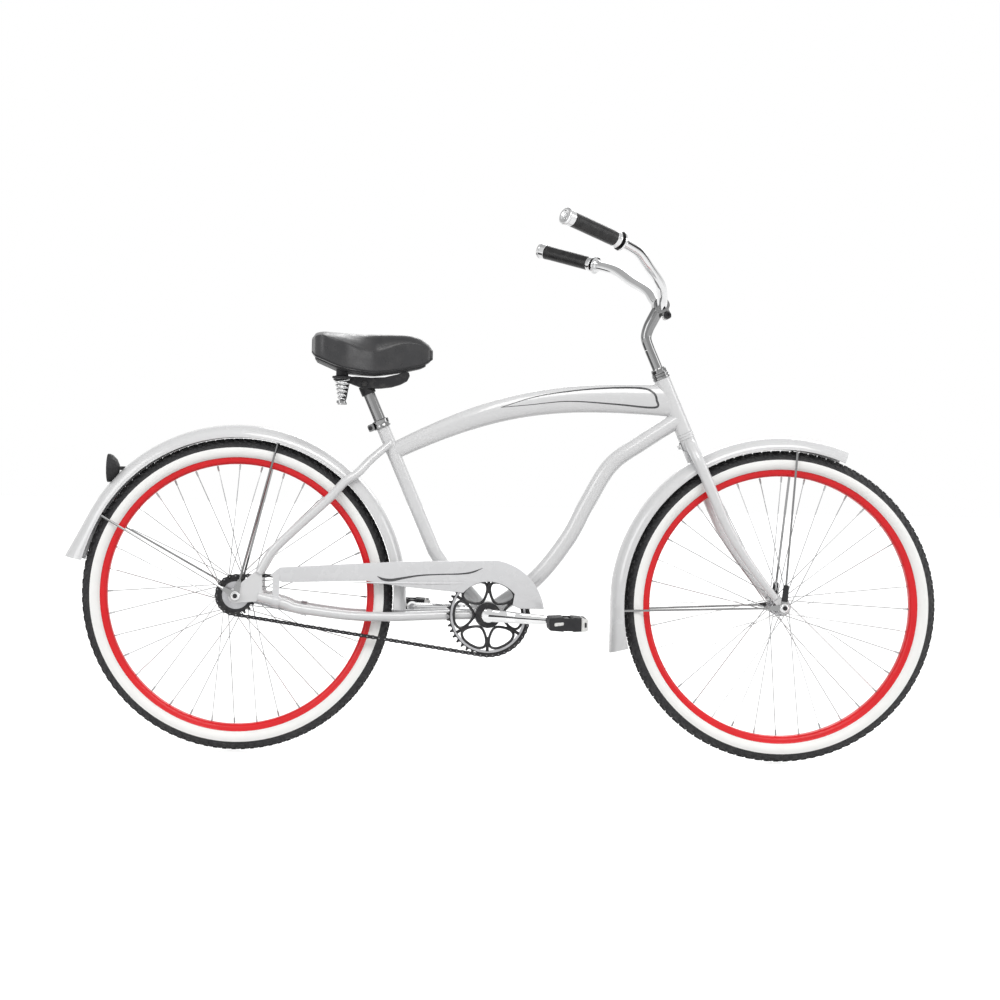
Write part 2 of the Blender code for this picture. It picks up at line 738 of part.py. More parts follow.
def tooth_outline(centre, pitch_radius, teeth, first_angle):
    """The outline (x, z) of a sprocket, its first tooth at an angle about the centre."""
    root = pitch_radius - CHAIN_ROLLER_RADIUS - CLEARANCE
    tip = pitch_radius + TOOTH_HEIGHT
    points = []
    for tooth in range(teeth):
        angle = first_angle + tooth * math.tau / teeth
        for radius, half in ((root, -TOOTH_ROOT_HALF), (tip, 0), (root, TOOTH_ROOT_HALF)):
            turn = angle + half / radius
            points.append((centre.x + radius * math.cos(turn), centre.z + radius * math.sin(turn)))
    return points


TOOTH_ROOT_HALF = 1.7 * MM


def tooth_angle(outward, start, teeth):
    """The angle of the first tooth that lies midway between two pins."""
    next_middle = math.floor(start) + 0.5 - start
    direction = forward_turn(outward, next_middle * math.tau / teeth)
    return math.atan2(direction.z, direction.x)


RING_ARMS = 6
RING_HOLE_INNER = 30 * MM
RING_HOLE_OUTER = 71 * MM
RING_ARM_HALF = 6.5 * MM


def chainring():
    """A toothed ring on six arms, each with a small window near the middle."""
    centre = (BRACKET.x, BRACKET.z)
    first = tooth_angle(UPPER_OUT, CHAIN_RUN, RING_TEETH)
    outlines = [tooth_outline(BRACKET, RING_PITCH_RADIUS, RING_TEETH, first)]
    for arm in range(RING_ARMS):
        middle = math.radians(60) + arm * math.tau / RING_ARMS
        wide = math.pi / RING_ARMS - RING_ARM_HALF / RING_HOLE_OUTER
        narrow = math.pi / RING_ARMS - RING_ARM_HALF * 1.3 / RING_HOLE_INNER
        waist = RING_HOLE_INNER + (RING_HOLE_OUTER - RING_HOLE_INNER) * 0.8
        petal = arc(centre, RING_HOLE_OUTER, middle - wide * 0.7, middle + wide * 0.7, 3)
        petal += arc(centre, waist, middle + wide, middle + wide, 1)[:1]
        petal += arc(centre, RING_HOLE_INNER, middle + narrow, middle - narrow, 2)
        petal += arc(centre, waist, middle - wide, middle - wide, 1)[:1]
        outlines.append(petal)
        spoke = middle + math.pi / RING_ARMS
        window = arc(centre, RING_HOLE_INNER + 4 * MM, spoke, spoke, 1)[:1]
        window += arc(centre, RING_HOLE_INNER - 8 * MM, spoke + 0.11, spoke - 0.11, 1)
        outlines.append(window)
    outlines.append(circle(centre, CRANK_AXLE_RADIUS + CLEARANCE, 16))
    return side_plate("chainring", outlines, CHAIN_LINE_Y, TOOTH_THICKNESS, CHROME)


COG_BORE = bore_radius(AXLE_RADIUS, 12)
DRIVER_RADIUS = 15 * MM
DRIVER_INNER_Y = -36.5 * MM
DRIVER_OUTER_Y = -50 * MM


def rear_cog():
    first = tooth_angle(LOWER_OUT, CHAIN_RUN * 2 + ON_RING, COG_TEETH)
    outline = tooth_outline(REAR_HUB, COG_PITCH_RADIUS, COG_TEETH, first)
    hole = circle((REAR_HUB.x, REAR_HUB.z), DRIVER_RADIUS - 2 * MM, 8)
    teeth = side_plate("cog_teeth", [outline, hole], CHAIN_LINE_Y, TOOTH_THICKNESS, BLACK_STEEL)
    profile = nut_profile(DRIVER_OUTER_Y, DRIVER_INNER_Y, DRIVER_RADIUS, COG_BORE)
    return join(turned("rear_cog", profile, REAR_HUB, Y_AXIS, STEEL, 12), teeth)


# Cranks and pedals

CRANK_STATIONS = ((-9, 60), (0, 59), (22, 60), (40, 65), (60, 74), (100, 78), (158, 80))


def crank_point(along, y, angle):
    return BRACKET + Vector((math.cos(angle) * along, y, math.sin(angle) * along))


def crank_arm(tag, side, angle):
    """A forged arm that tapers to the pedal and bends out past the chainring."""
    along = Vector((math.cos(angle), 0, math.sin(angle)))
    up = Vector((-math.sin(angle), 0, math.cos(angle)))
    rings = []
    for reach, y in CRANK_STATIONS:
        share = reach * MM / CRANK_LENGTH
        half = (CRANK_HUB_HEIGHT * (1 - share) + CRANK_TIP_HEIGHT * share) / 2
        thick = CRANK_THICKNESS / 2
        centre = BRACKET + along * reach * MM * (CRANK_LENGTH / (CRANK_STATIONS[-1][0] * MM))
        centre += Y_AXIS * side * y * MM
        corners = ((1, 0.55), (0.6, 1), (-0.6, 1), (-1, 0.55),
                   (-1, -0.55), (-0.6, -1), (0.6, -1), (1, -0.55))
        rings.append([centre + up * half * a + Y_AXIS * thick * b for a, b in corners])
    return loft(f"crank_arm_{tag}", rings, CHROME)


def crank():
    inner = CRANK_STATIONS[0][1] * MM
    axle_rod = rod("crank", BRACKET - Y_AXIS * inner, BRACKET + Y_AXIS * inner,
                   CRANK_AXLE_RADIUS, CHROME, 16)
    for tag, side, angle in (("right", -1, CRANK_ANGLE), ("left", 1, CRANK_ANGLE + math.pi)):
        eye = crank_point(CRANK_LENGTH, side * CRANK_ARM_Y, angle)
        half = Y_AXIS * (CRANK_THICKNESS / 2 + 0.4 * MM)
        join(axle_rod, crank_arm(tag, side, angle),
             rod("crank_eye", eye - half, eye + half, EYE_RADIUS, CHROME, 14))
        cut(axle_rod, rod("crank_thread", eye - half * 2, eye + half * 2,
                          SPINDLE_RADIUS + CLEARANCE, CHROME, 12))
    return axle_rod


EYE_RADIUS = 11.5 * MM
SPINDLE_COLLAR_RADIUS = 9 * MM


def pedal_spindle(tag, side, eye):
    start = eye - Y_AXIS * side * (CRANK_THICKNESS / 2)
    end = Vector((eye.x, side * (PEDAL_INNER_Y + PEDAL_WIDTH - 4 * MM), eye.z))
    spindle = rod(f"pedal_spindle_{tag}", start, end, SPINDLE_RADIUS, STEEL, 12)
    collar_start = eye + Y_AXIS * side * (CRANK_THICKNESS / 2 + 0.4 * MM + CLEARANCE)
    collar_end = Vector((eye.x, side * (PEDAL_INNER_Y - CLEARANCE), eye.z))
    return join(spindle, rod(f"spindle_collar_{tag}", collar_start, collar_end,
                             SPINDLE_COLLAR_RADIUS, STEEL, 12))


def pedal(tag, side, eye):
    """Two rubber blocks held between end plates, on a barrel that turns on the spindle."""
    inner = Vector((eye.x, side * PEDAL_INNER_Y, eye.z))
    outer = inner + Y_AXIS * side * PEDAL_WIDTH
    middle = (inner + outer) / 2
    body = rod(f"pedal_{tag}", inner, outer, PEDAL_BARREL_RADIUS, BLACK_PLASTIC, 12)
    block_length = (PEDAL_LENGTH - PEDAL_GAP) / 2
    for way in (-1, 1):
        centre = middle + X_AXIS * way * (PEDAL_GAP + block_length) / 2
        join(body, box("pedal_block", centre,
                       (block_length, PEDAL_WIDTH - 8 * MM, PEDAL_HEIGHT), BLACK_PLASTIC))
    for end in (-1, 1):
        centre = middle + Y_AXIS * end * (PEDAL_WIDTH / 2 - 4 * MM)
        join(body, box("pedal_end", centre,
                       (PEDAL_LENGTH - 6 * MM, 4 * MM, PEDAL_HEIGHT - 8 * MM), BLACK_PLASTIC))
    bore_start = inner - Y_AXIS * side * OVERRUN
    bore_end = outer - Y_AXIS * side * 3 * MM
    return cut(body, rod("pedal_bore", bore_start, bore_end, SPINDLE_RADIUS + CLEARANCE,
                         BLACK_PLASTIC, 12))


PEDAL_GAP = 16 * MM


# Chain guard

GUARD_TAIL = ((71, 44), (92, 61), (344, 79))
GUARD_UNDER = ((98, 30), (272, 37), (355, 26), (397, 13))


def guard_outline():
    """The guard's edge (x, z): a long tongue over the chain and a disc over the ring."""
    hub = (REAR_HUB.x, REAR_HUB.z)
    centre = (BRACKET.x, BRACKET.z)
    points = [(hub[0] + x * MM, hub[1] + z * MM) for x, z in GUARD_TAIL]
    points += arc(centre, GUARD_DISC_RADIUS, math.radians(80), math.radians(8), 6)
    points += [(centre[0] + x * MM, centre[1] + z * MM) for x, z in GUARD_TOE]
    points += arc(centre, GUARD_WINDOW_RADIUS, math.radians(53), math.radians(139), 6)
    points += [(hub[0] + x * MM, hub[1] + z * MM) for x, z in reversed(GUARD_UNDER[:-1])]
    return points


GUARD_TOE = ((65, 16), (44, 26))


def inset(outline, distance):
    """The outline moved inwards by a distance, corner by corner."""
    area = sum(a[0] * b[1] - b[0] * a[1] for a, b in zip(outline, outline[1:] + outline[:1]))
    turn = 1 if area > 0 else -1
    moved = []
    for i, point in enumerate(outline):
        here = Vector(point)
        before = (here - Vector(outline[i - 1])).normalized()
        after = (Vector(outline[(i + 1) % len(outline)]) - here).normalized()
        normal = (Vector((-before.y, before.x)) + Vector((-after.y, after.x))) * turn
        share = distance / max(0.35, normal.length_squared / 4) / 2
        moved.append(tuple(here + normal * share))
    return moved


def chain_guard():
    """A pressed sheet beside the chain, its edge folded in, on a strap and a bracket."""
    outline = guard_outline()
    guard = side_plate("chain_guard", [outline], -GUARD_Y, GUARD_WALL, GUARD_PAINT)
    fold = [inset(outline, FOLD_SETBACK), inset(outline, FOLD_SETBACK + GUARD_WALL)]
    fold_y = -(GUARD_Y - GUARD_LIP / 2)
    return join(guard, side_plate("guard_fold", fold, fold_y, GUARD_LIP, GUARD_PAINT))


FOLD_SETBACK = 0.3 * MM


# Frame

SEAT_ANGLE = math.radians(66.2)
SEAT_OFFSET = 53 * MM
SEAT_UP = Vector((-math.cos(SEAT_ANGLE), 0, math.sin(SEAT_ANGLE)))
SEAT_FORWARD = Vector((math.sin(SEAT_ANGLE), 0, math.cos(SEAT_ANGLE)))
SEAT_FOOT = BRACKET - SEAT_FORWARD * SEAT_OFFSET
SEAT_TUBE_TOP = 461 * MM
SEAT_TUBE_BEND = 165 * MM
SEAT_TUBE_CURVE = ((0.455, 0.528), (0.739, 0.17))
TOP_TUBE_SEAT_JOIN = 394 * MM
TOP_TUBE_HEAD_JOIN = HEAD_TUBE_TOP - 50 * MM
TOP_TUBE_WIDTH_HEAD = 34 * MM
TOP_TUBE_WIDTH_SEAT = 27 * MM
TOP_TUBE_HEAD_PULL = Vector((-232 * MM, 0, 8 * MM))
TOP_TUBE_SEAT_PULL = Vector((233 * MM, 0, 119 * MM))
DOWN_TUBE_HEAD_JOIN = HEAD_TUBE_BOTTOM + 33 * MM
DOWN_TUBE_SWEEP = ((0.15, -20), (0.295, -34), (0.46, -12), (0.60, 11), (0.79, 21))
SEAT_BORE_START = SEAT_TUBE_BEND + 40 * MM
COLLAR_HEIGHT = 18 * MM
COLLAR_WALL = 3.5 * MM


def seat_line(along, forward=0.0, side=0.0):
    """A point given along the seat tube's axis, in front of it and to the side."""
    return SEAT_FOOT + SEAT_UP * along + SEAT_FORWARD * forward + Y_AXIS * side


def head_tube_cutter():
    return rod("head_tube_cope", steer(HEAD_TUBE_BOTTOM - 10 * MM), steer(HEAD_TUBE_TOP + 10 * MM),
               HEAD_TUBE_RADIUS + 2 * CLEARANCE, None, 20)


def seat_tube_cutter():
    path = seat_tube_path()
    return tube("seat_tube_cope", path, SEAT_TUBE_RADIUS + 2 * CLEARANCE, WHITE_PAINT, 12)


def bracket_cutter():
    reach = Y_AXIS * (BRACKET_HALF_WIDTH + 8 * MM)
    return rod("bracket_cope", BRACKET - reach, BRACKET + reach, BRACKET_RADIUS + 2 * CLEARANCE,
               None, 18)


def head_tube():
    profile = nut_profile(HEAD_TUBE_BOTTOM, HEAD_TUBE_TOP, HEAD_TUBE_RADIUS, HEAD_TUBE_BORE)
    return turned("head_tube", profile, STEER_FOOT, STEER_UP, WHITE_PAINT, 16)


def seat_tube_path():
    bend = [seat_line(along * SEAT_TUBE_BEND, forward * SEAT_OFFSET)
            for along, forward in SEAT_TUBE_CURVE]
    return smooth_path([BRACKET, *bend, seat_line(SEAT_TUBE_BEND)], 2) + [seat_line(SEAT_TUBE_TOP)]


def seat_tube():
    piece = tube("seat_tube", seat_tube_path(), SEAT_TUBE_RADIUS, WHITE_PAINT, 12)
    cut(piece, bracket_cutter())
    bore_start = seat_line(SEAT_BORE_START)
    bore_end = seat_line(SEAT_TUBE_TOP + 10 * MM)
    return cut(piece, rod("seat_tube_bore", bore_start, bore_end, SEATPOST_RADIUS + 2 * CLEARANCE,
                          None, 16))


def seat_collar():
    """A split clamp ring on the seat tube, its bolt behind."""
    top = SEAT_TUBE_TOP + 6 * MM
    bottom = top - COLLAR_HEIGHT
    inner = SEAT_TUBE_RADIUS + CLEARANCE
    profile = nut_profile(bottom, top, inner + COLLAR_WALL, inner)
    collar = turned("seat_collar", profile, SEAT_FOOT, SEAT_UP, STEEL, 16)
    middle = (top + bottom) / 2
    ear = seat_line(middle, -(inner + COLLAR_WALL + 5 * MM))
    turn = Matrix.Rotation(math.pi / 2 - SEAT_ANGLE, 4, "Y").inverted()
    join(collar, box("collar_ear", ear, (14 * MM, 14 * MM, COLLAR_HEIGHT - 3 * MM), STEEL, turn))
    slit = seat_line(middle, -(inner + COLLAR_WALL + 8 * MM))
    cut(collar, box("collar_slit", slit, (26 * MM, 2.5 * MM, COLLAR_HEIGHT + 4 * MM), None, turn))
    bolt = seat_line(middle, -(inner + COLLAR_WALL + 7 * MM))
    return join(collar, rod("collar_bolt", bolt - Y_AXIS * 14 * MM, bolt + Y_AXIS * 14 * MM,
                            4 * MM, STEEL, 10))


def top_tube_rings(grow=0.0):
    """Oval sections along a curve that drops and narrows from the head to the seat."""
    start = steer(TOP_TUBE_HEAD_JOIN)
    end = seat_line(TOP_TUBE_SEAT_JOIN)
    first = start + TOP_TUBE_HEAD_PULL
    second = end + TOP_TUBE_SEAT_PULL
    count = 12
    sides = 12
    rings = []
    for i in range(count + 1):
        t = i / count
        u = 1 - t
        centre = start * u ** 3 + first * 3 * u * u * t + second * 3 * u * t * t + end * t ** 3
        ahead = ((first - start) * u * u + (second - first) * 2 * u * t + (end - second) * t * t)
        ahead.normalize()
        up = Vector((ahead.z, 0, -ahead.x))
        high = (TOP_TUBE_HEIGHT_HEAD * u + TOP_TUBE_HEIGHT_SEAT * t) / 2 + grow
        wide = (TOP_TUBE_WIDTH_HEAD * u + TOP_TUBE_WIDTH_SEAT * t) / 2 + grow
        rings.append([centre + up * high * math.cos(math.tau * k / sides)
                      + Y_AXIS * wide * math.sin(math.tau * k / sides) for k in range(sides)])
    return rings


def top_tube():
    piece = loft("top_tube", top_tube_rings(), WHITE_PAINT)
    return cut(piece, head_tube_cutter(), seat_tube_cutter())


def down_tube():
    """A tube that sweeps under the top tube first and then out to the bottom bracket."""
    start = steer(DOWN_TUBE_HEAD_JOIN)
    chord = BRACKET - start
    normal = Vector((-chord.z, 0, chord.x)).normalized()
    bends = [start + chord * share + normal * offset * MM for share, offset in DOWN_TUBE_SWEEP]
    path = smooth_path([start, *bends, BRACKET], 2)
    piece = tube("down_tube", path, DOWN_TUBE_RADIUS, WHITE_PAINT, 12)
    return cut(piece, loft("top_tube_cope", top_tube_rings(CLEARANCE), None),
               head_tube_cutter(), bracket_cutter())


def bracket_shell():
    profile = nut_profile(-BRACKET_HALF_WIDTH, BRACKET_HALF_WIDTH, BRACKET_RADIUS,
                          BRACKET_RADIUS - BRACKET_WALL)
    return turned("bottom_bracket_shell", profile, BRACKET, Y_AXIS, WHITE_PAINT, 18)


def bottom_cup(tag, side):
    """A pressed bearing cup: a sleeve in the shell and a lip outside it."""
    bore = bore_radius(CRANK_AXLE_RADIUS, 12)
    sleeve = BRACKET_RADIUS - BRACKET_WALL - 2 * CLEARANCE
    face = BRACKET_HALF_WIDTH + CLEARANCE
    profile = [(bore, face - 10 * MM), (sleeve, face - 10 * MM), (sleeve, face),
               (BRACKET_RADIUS - 1 * MM, face), (BRACKET_RADIUS - 4 * MM, face + 4 * MM),
               (bore, face + 4 * MM)]
    return turned(f"bottom_cup_{tag}", profile, BRACKET, Y_AXIS * side, CHROME, 12)


STAY_SPAN = BRACKET.x - REAR_HUB.x
CHAINSTAY_ROUTE = ((0.0886, -1, 57.5), (0.1922, -15, 56), (0.2393, -24, 54.5),
                   (0.3844, -34, 50.5), (0.4805, -38, 48), (0.6218, -38, 44.5),
                   (0.6934, -36.5, 38.5), (0.8103, -33.5, 30), (0.9516, -31, 28))
SEATSTAY_ROUTE = ((0.0904, 48, 57), (0.1394, 93, 56.5), (0.2242, 139, 54), (0.3618, 208, 50.5),
                  (0.4202, 243, 46.5), (0.4711, 262, 40), (0.5182, 289, 28), (0.5954, 326, 11))


STAY_TRIM = 100 * MM
DROPOUT_REACH = 62 * MM
DROPOUT_NOSE = ((0.806, -0.177), (1, -0.097), (0.903, 0.226))


def stay_path(route, side, spans=1):
    """A stay's middle line: shares of the way to the bracket, with heights and half widths."""
    return smooth_path([REAR_HUB + Vector((share * STAY_SPAN, side * y * MM, z * MM))
                        for share, z, y in route], spans)


def chainstay_cutter(side):
    return tube("chainstay_cope", stay_path(CHAINSTAY_ROUTE, side),
                CHAINSTAY_RADIUS + 2 * CLEARANCE, WHITE_PAINT, 10)


def seatstay_cutter(side):
    return tube("seatstay_cope", stay_path(SEATSTAY_ROUTE, side),
                SEATSTAY_RADIUS + 2 * CLEARANCE, WHITE_PAINT, 10)


def chainstay(tag, side):
    """A stay with its dropout plate, which reaches up to the seatstay's end."""
    path = stay_path(CHAINSTAY_ROUTE, side)
    piece = tube(f"chainstay_{tag}", path, CHAINSTAY_RADIUS, WHITE_PAINT, 10)
    cut(piece, bracket_cutter())
    seatstay = stay_path(SEATSTAY_ROUTE, side)
    end = seatstay[0]
    back = (seatstay[0] - seatstay[1]).normalized()
    end = end + back * CLEARANCE
    across = Vector((back.z, 0, -back.x)).normalized()
    half = 8 * MM
    corner_a = end + across * half
    corner_b = end - across * half
    hub = (REAR_HUB.x, REAR_HUB.z)
    outline = [(corner_a.x, corner_a.z), (corner_b.x, corner_b.z)]
    upper, lower = sorted(outline, key=lambda corner: corner[0])
    outline = [upper, *arc(hub, 16 * MM, math.radians(100), math.radians(275), 6),
               *[(hub[0] + x * DROPOUT_REACH, hub[1] + z * DROPOUT_REACH)
                 for x, z in DROPOUT_NOSE], lower]
    hole = circle(hub, bore_radius(AXLE_RADIUS, 8), 8)
    middle = side * (REAR_DROPOUT_HALF + DROPOUT_THICKNESS / 2)
    return join(piece, side_plate("dropout", [outline, hole], middle, DROPOUT_THICKNESS,
                                  WHITE_PAINT))


def seatstay(tag, side):
    route = stay_path(SEATSTAY_ROUTE, side)
    radii = [0.85] + [1.0] * (len(route) - 2) + [0.85]
    piece = tube(f"seatstay_{tag}", route, SEATSTAY_RADIUS, WHITE_PAINT, 10, radii)
    cut(piece, seat_tube_cutter())
    half = STAY_TRIM / 2
    far_side = box("stay_trim", route[-1] - Y_AXIS * side * (half + route[-1].y * side),
                   (STAY_TRIM, STAY_TRIM - 2 * CLEARANCE, STAY_TRIM), None)
    return cut(piece, far_side)


def bridge(name, angle, route, cutters):
    """A short cross tube between the stays' middles, which the fender's crown lies against."""
    reach = FENDER_RADIUS + BRIDGE_RADIUS + CLEARANCE
    centre = REAR_HUB + Vector((math.cos(angle) * reach, 0, math.sin(angle) * reach))
    half = Y_AXIS * min(stay_path(route, 1, 6), key=lambda p: (p.xz - centre.xz).length).y
    piece = rod(name, centre - half, centre + half, BRIDGE_RADIUS, WHITE_PAINT, 12)
    return cut(piece, *cutters)


def frame_pieces():
    pieces = [head_tube(), top_tube(), down_tube(), seat_tube(), bracket_shell(), seat_collar()]
    for tag, side in (("right", -1), ("left", 1)):
        pieces += [chainstay(tag, side), seatstay(tag, side), bottom_cup(tag, side)]
    pieces.append(bridge("chainstay_bridge", CHAINSTAY_BRIDGE_ANGLE, CHAINSTAY_ROUTE,
                         [chainstay_cutter(-1), chainstay_cutter(1)]))
    pieces.append(bridge("seatstay_bridge", SEATSTAY_BRIDGE_ANGLE, SEATSTAY_ROUTE,
                         [seatstay_cutter(-1), seatstay_cutter(1)]))
    return pieces


CHAINSTAY_BRIDGE_ANGLE = math.radians(-5.7)
SEATSTAY_BRIDGE_ANGLE = math.radians(46.9)


def hang_guard(guard):
    """The guard's rear strap with a clip round the chainstay, and its bracket on the seat tube."""
    route = stay_path(CHAINSTAY_ROUTE, -1)
    clip_x = REAR_HUB.x + GUARD_CLIP_REACH
    after = next(i for i, point in enumerate(route) if point.x > clip_x)
    low, high = route[after - 1], route[after]
    centre = low.lerp(high, (clip_x - low.x) / (high.x - low.x))
    along = (high - low).normalized()
    half = along * GUARD_STRAP_WIDTH / 2
    join(guard, rod("guard_clip", centre - half, centre + half,
                    CHAINSTAY_RADIUS + CLEARANCE + 2 * MM, None, 12))
    top = REAR_HUB.z + GUARD_TAIL[0][1] * MM + 4 * MM
    strap_y = -(GUARD_Y + GUARD_WALL / 2)
    middle = Vector((clip_x, strap_y, (top + centre.z) / 2))
    join(guard, box("guard_strap", middle,
                    (GUARD_STRAP_WIDTH - 2 * MM, GUARD_WALL - 0.4 * MM, top - centre.z), None))
    cut(guard, chainstay_cutter(-1))
    level = BRACKET.z + GUARD_BRACKET_RISE
    seat_x = seat_line(SEAT_TUBE_BEND - 10 * MM).x
    join(guard, box("guard_bracket", Vector((seat_x, -GUARD_Y / 2 - 0.3 * MM, level)),
                    (GUARD_STRAP_WIDTH, GUARD_Y, 2 * MM), None))
    return cut(guard, seat_tube_cutter())


GUARD_CLIP_REACH = 84.5 * MM
GUARD_STRAP_WIDTH = 16 * MM
GUARD_BRACKET_RISE = 103 * MM


def brake_arm():
    """The coaster brake's reaction arm, from the hub to a clip on the left chainstay."""
    hub = (REAR_HUB.x, REAR_HUB.z)
    route = stay_path(CHAINSTAY_ROUTE, 1)
    clip_x = REAR_HUB.x + BRAKE_ARM_REACH
    after = next(i for i, point in enumerate(route) if point.x > clip_x)
    low, high = route[after - 1], route[after]
    centre = low.lerp(high, (clip_x - low.x) / (high.x - low.x))
    end_z = centre.z - CHAINSTAY_RADIUS - 6 * MM
    outline = [(clip_x + 6 * MM, end_z - 5 * MM), (clip_x + 6 * MM, end_z + 5 * MM),
               *arc(hub, 15 * MM, math.radians(75), math.radians(250), 6)]
    hole = circle(hub, bore_radius(AXLE_RADIUS, 8), 8)
    arm = side_plate("coaster_brake_arm", [outline, hole], BRAKE_ARM_Y, 3 * MM, STEEL)
    half = (high - low).normalized() * 6 * MM
    join(arm, rod("brake_clip", centre - half, centre + half,
                  CHAINSTAY_RADIUS + CLEARANCE + 1.5 * MM, None, 12))
    tab = Vector((clip_x, (BRAKE_ARM_Y + centre.y) / 2, end_z + 1 * MM))
    join(arm, box("brake_tab", tab, (10 * MM, centre.y - BRAKE_ARM_Y + 4 * MM, 9 * MM), None))
    return cut(arm, chainstay_cutter(1))


BRAKE_ARM_REACH = 140 * MM
BRAKE_ARM_Y = 44 * MM


def rear_reflector():
    """A flat-faced reflector in a domed housing, on a stud that stands on the fender."""
    angle = REFLECTOR_ANGLE
    outward = Vector((math.cos(angle), 0, math.sin(angle)))
    face = REAR_HUB + outward * FENDER_RADIUS - X_AXIS * REFLECTOR_BEHIND
    profile = [(0, 0), (REFLECTOR_RADIUS, 0), (REFLECTOR_RADIUS, 5 * MM), (27 * MM, 12 * MM),
               (19 * MM, 20 * MM), (8 * MM, 25 * MM), (0, REFLECTOR_DEPTH)]
    lamp = turned("rear_reflector", profile, face, X_AXIS, BLACK_PLASTIC, 16)
    plate_middle = REAR_HUB + outward * (FENDER_RADIUS + CLEARANCE + 1 * MM)
    foot = box("reflector_bracket", plate_middle, (26 * MM, 14 * MM, 2 * MM), BLACK_STEEL,
               Matrix.Rotation(math.pi / 2 - angle, 4, "Y"))
    deep = face + X_AXIS * 14 * MM
    near = Vector((plate_middle.x - 3.5 * MM, 0, face.z))
    cut(lamp, rod("stud_bore", deep - X_AXIS * CLEARANCE, near, 4 * MM + CLEARANCE, None, 12))
    return lamp, join(foot, rod("reflector_stud", deep, near, 4 * MM, None, 12))


REFLECTOR_ANGLE = math.radians(132.5)
REFLECTOR_BEHIND = 41.8 * MM
REFLECTOR_RADIUS = 30 * MM
REFLECTOR_DEPTH = 26 * MM


# Fork and headset

HEADSET_INSERT = 12 * MM
STEERER_TOP = HEAD_TUBE_TOP + HEADSET_CUP_HEIGHT + HEADSET_NUT_HEIGHT - 2 * MM


def headset_cup(name, outer_end, face, insert_end):
    """A cup that covers the head tube's end, with a sleeve pressed into it."""
    bore = bore_radius(STEERER_RADIUS, 16)
    sleeve = HEAD_TUBE_BORE - CLEARANCE
    profile = [(bore, insert_end), (sleeve, insert_end), (sleeve, face),
               (HEADSET_CUP_RADIUS, face), (HEADSET_CUP_RADIUS - 1.5 * MM, outer_end),
               (bore, outer_end)]
    return turned(name, profile, STEER_FOOT, STEER_UP, CHROME, 16)


def headset():
    bottom, top = HEAD_TUBE_BOTTOM, HEAD_TUBE_TOP
    lower = headset_cup("headset_cup_lower", CROWN_TOP + CLEARANCE, bottom - CLEARANCE,
                        bottom + HEADSET_INSERT)
    upper = headset_cup("headset_cup_upper", top + HEADSET_CUP_HEIGHT, top + CLEARANCE,
                        top - HEADSET_INSERT)
    bore = bore_radius(STEERER_RADIUS, 12)
    base = top + HEADSET_CUP_HEIGHT + CLEARANCE
    crest = base + HEADSET_NUT_HEIGHT
    profile = [(bore, base), (HEADSET_CUP_RADIUS - 1 * MM, base),
               (HEADSET_CUP_RADIUS - 1 * MM, crest - 2 * MM),
               (HEADSET_CUP_RADIUS - 4 * MM, crest), (bore, crest)]
    nut = turned("headset_nut", profile, STEER_FOOT, STEER_UP, CHROME, 12)
    return lower, upper, nut


def fork_steerer():
    floor = CROWN_BOTTOM + CROWN_FLOOR
    profile = [(STEERER_BORE, floor), (0, floor),
               (0, CROWN_BOTTOM), (CROWN_RADIUS - 2 * MM, CROWN_BOTTOM),
               (CROWN_RADIUS, CROWN_BOTTOM + 2 * MM), (CROWN_RADIUS, CROWN_TOP - 1 * MM),
               (CROWN_RADIUS - 1 * MM, CROWN_TOP), (STEERER_RADIUS, CROWN_TOP),
               (STEERER_RADIUS, STEERER_TOP), (STEERER_BORE, STEERER_TOP)]
    return turned("fork_steerer", profile, STEER_FOOT, STEER_UP, WHITE_PAINT, 16)


def rake(along):
    """How far in front of the steering axis the blade lies."""
    share = max(0.0, 1 - along / RAKE_START)
    return FORK_OFFSET * share ** RAKE_CURVE


BLADE_SHOULDER = ((13, 14), (6, 26), (-10, 38), (-33, 44.5))
BLADE_LEVELS = (300, 215, 175, 140, 105, 75, 48, 24)


def fork_blade(tag, side):
    """A blade that bends out of the crown, runs straight and curves forward to its dropout."""
    points = [steer(CROWN_BOTTOM + rise * MM, 0, side * y * MM) for rise, y in BLADE_SHOULDER]
    tip_y = FRONT_DROPOUT_HALF + DROPOUT_THICKNESS / 2
    for level in BLADE_LEVELS:
        along = level * MM
        share = max(0.0, 1 - along / BLADE_LEVELS[0] / MM)
        y = BLADE_HALF_SPREAD + (tip_y - BLADE_HALF_SPREAD) * share
        points.append(steer(along, rake(along), side * y))
    count = len(points) - 1
    start = len(BLADE_SHOULDER)
    radii = [1 - (1 - BLADE_TIP_RADIUS / BLADE_TOP_RADIUS) * max(0, i - start) / (count - start)
             for i in range(count + 1)]
    blade = tube(f"fork_blade_{tag}", points, BLADE_TOP_RADIUS, WHITE_PAINT, 10, radii)
    cut(blade, rod("crown_cope", steer(CROWN_BOTTOM - 12 * MM), steer(CROWN_TOP + 12 * MM),
                   CROWN_RADIUS + 2 * CLEARANCE, None, 14))
    hub = (FRONT_HUB.x, FRONT_HUB.z)
    top = BLADE_LEVELS[-1] * MM + 16 * MM
    front = steer(top, rake(top) + 5.5 * MM)
    back = steer(top, rake(top) - 5.5 * MM)
    outline = [(front.x, front.z), (back.x, back.z),
               *arc(hub, 14 * MM, math.radians(170), math.radians(385), 7)]
    hole = circle(hub, bore_radius(AXLE_RADIUS, 8), 8)
    return join(blade, side_plate("fork_dropout", [outline, hole], side * tip_y,
                                  DROPOUT_THICKNESS, WHITE_PAINT))


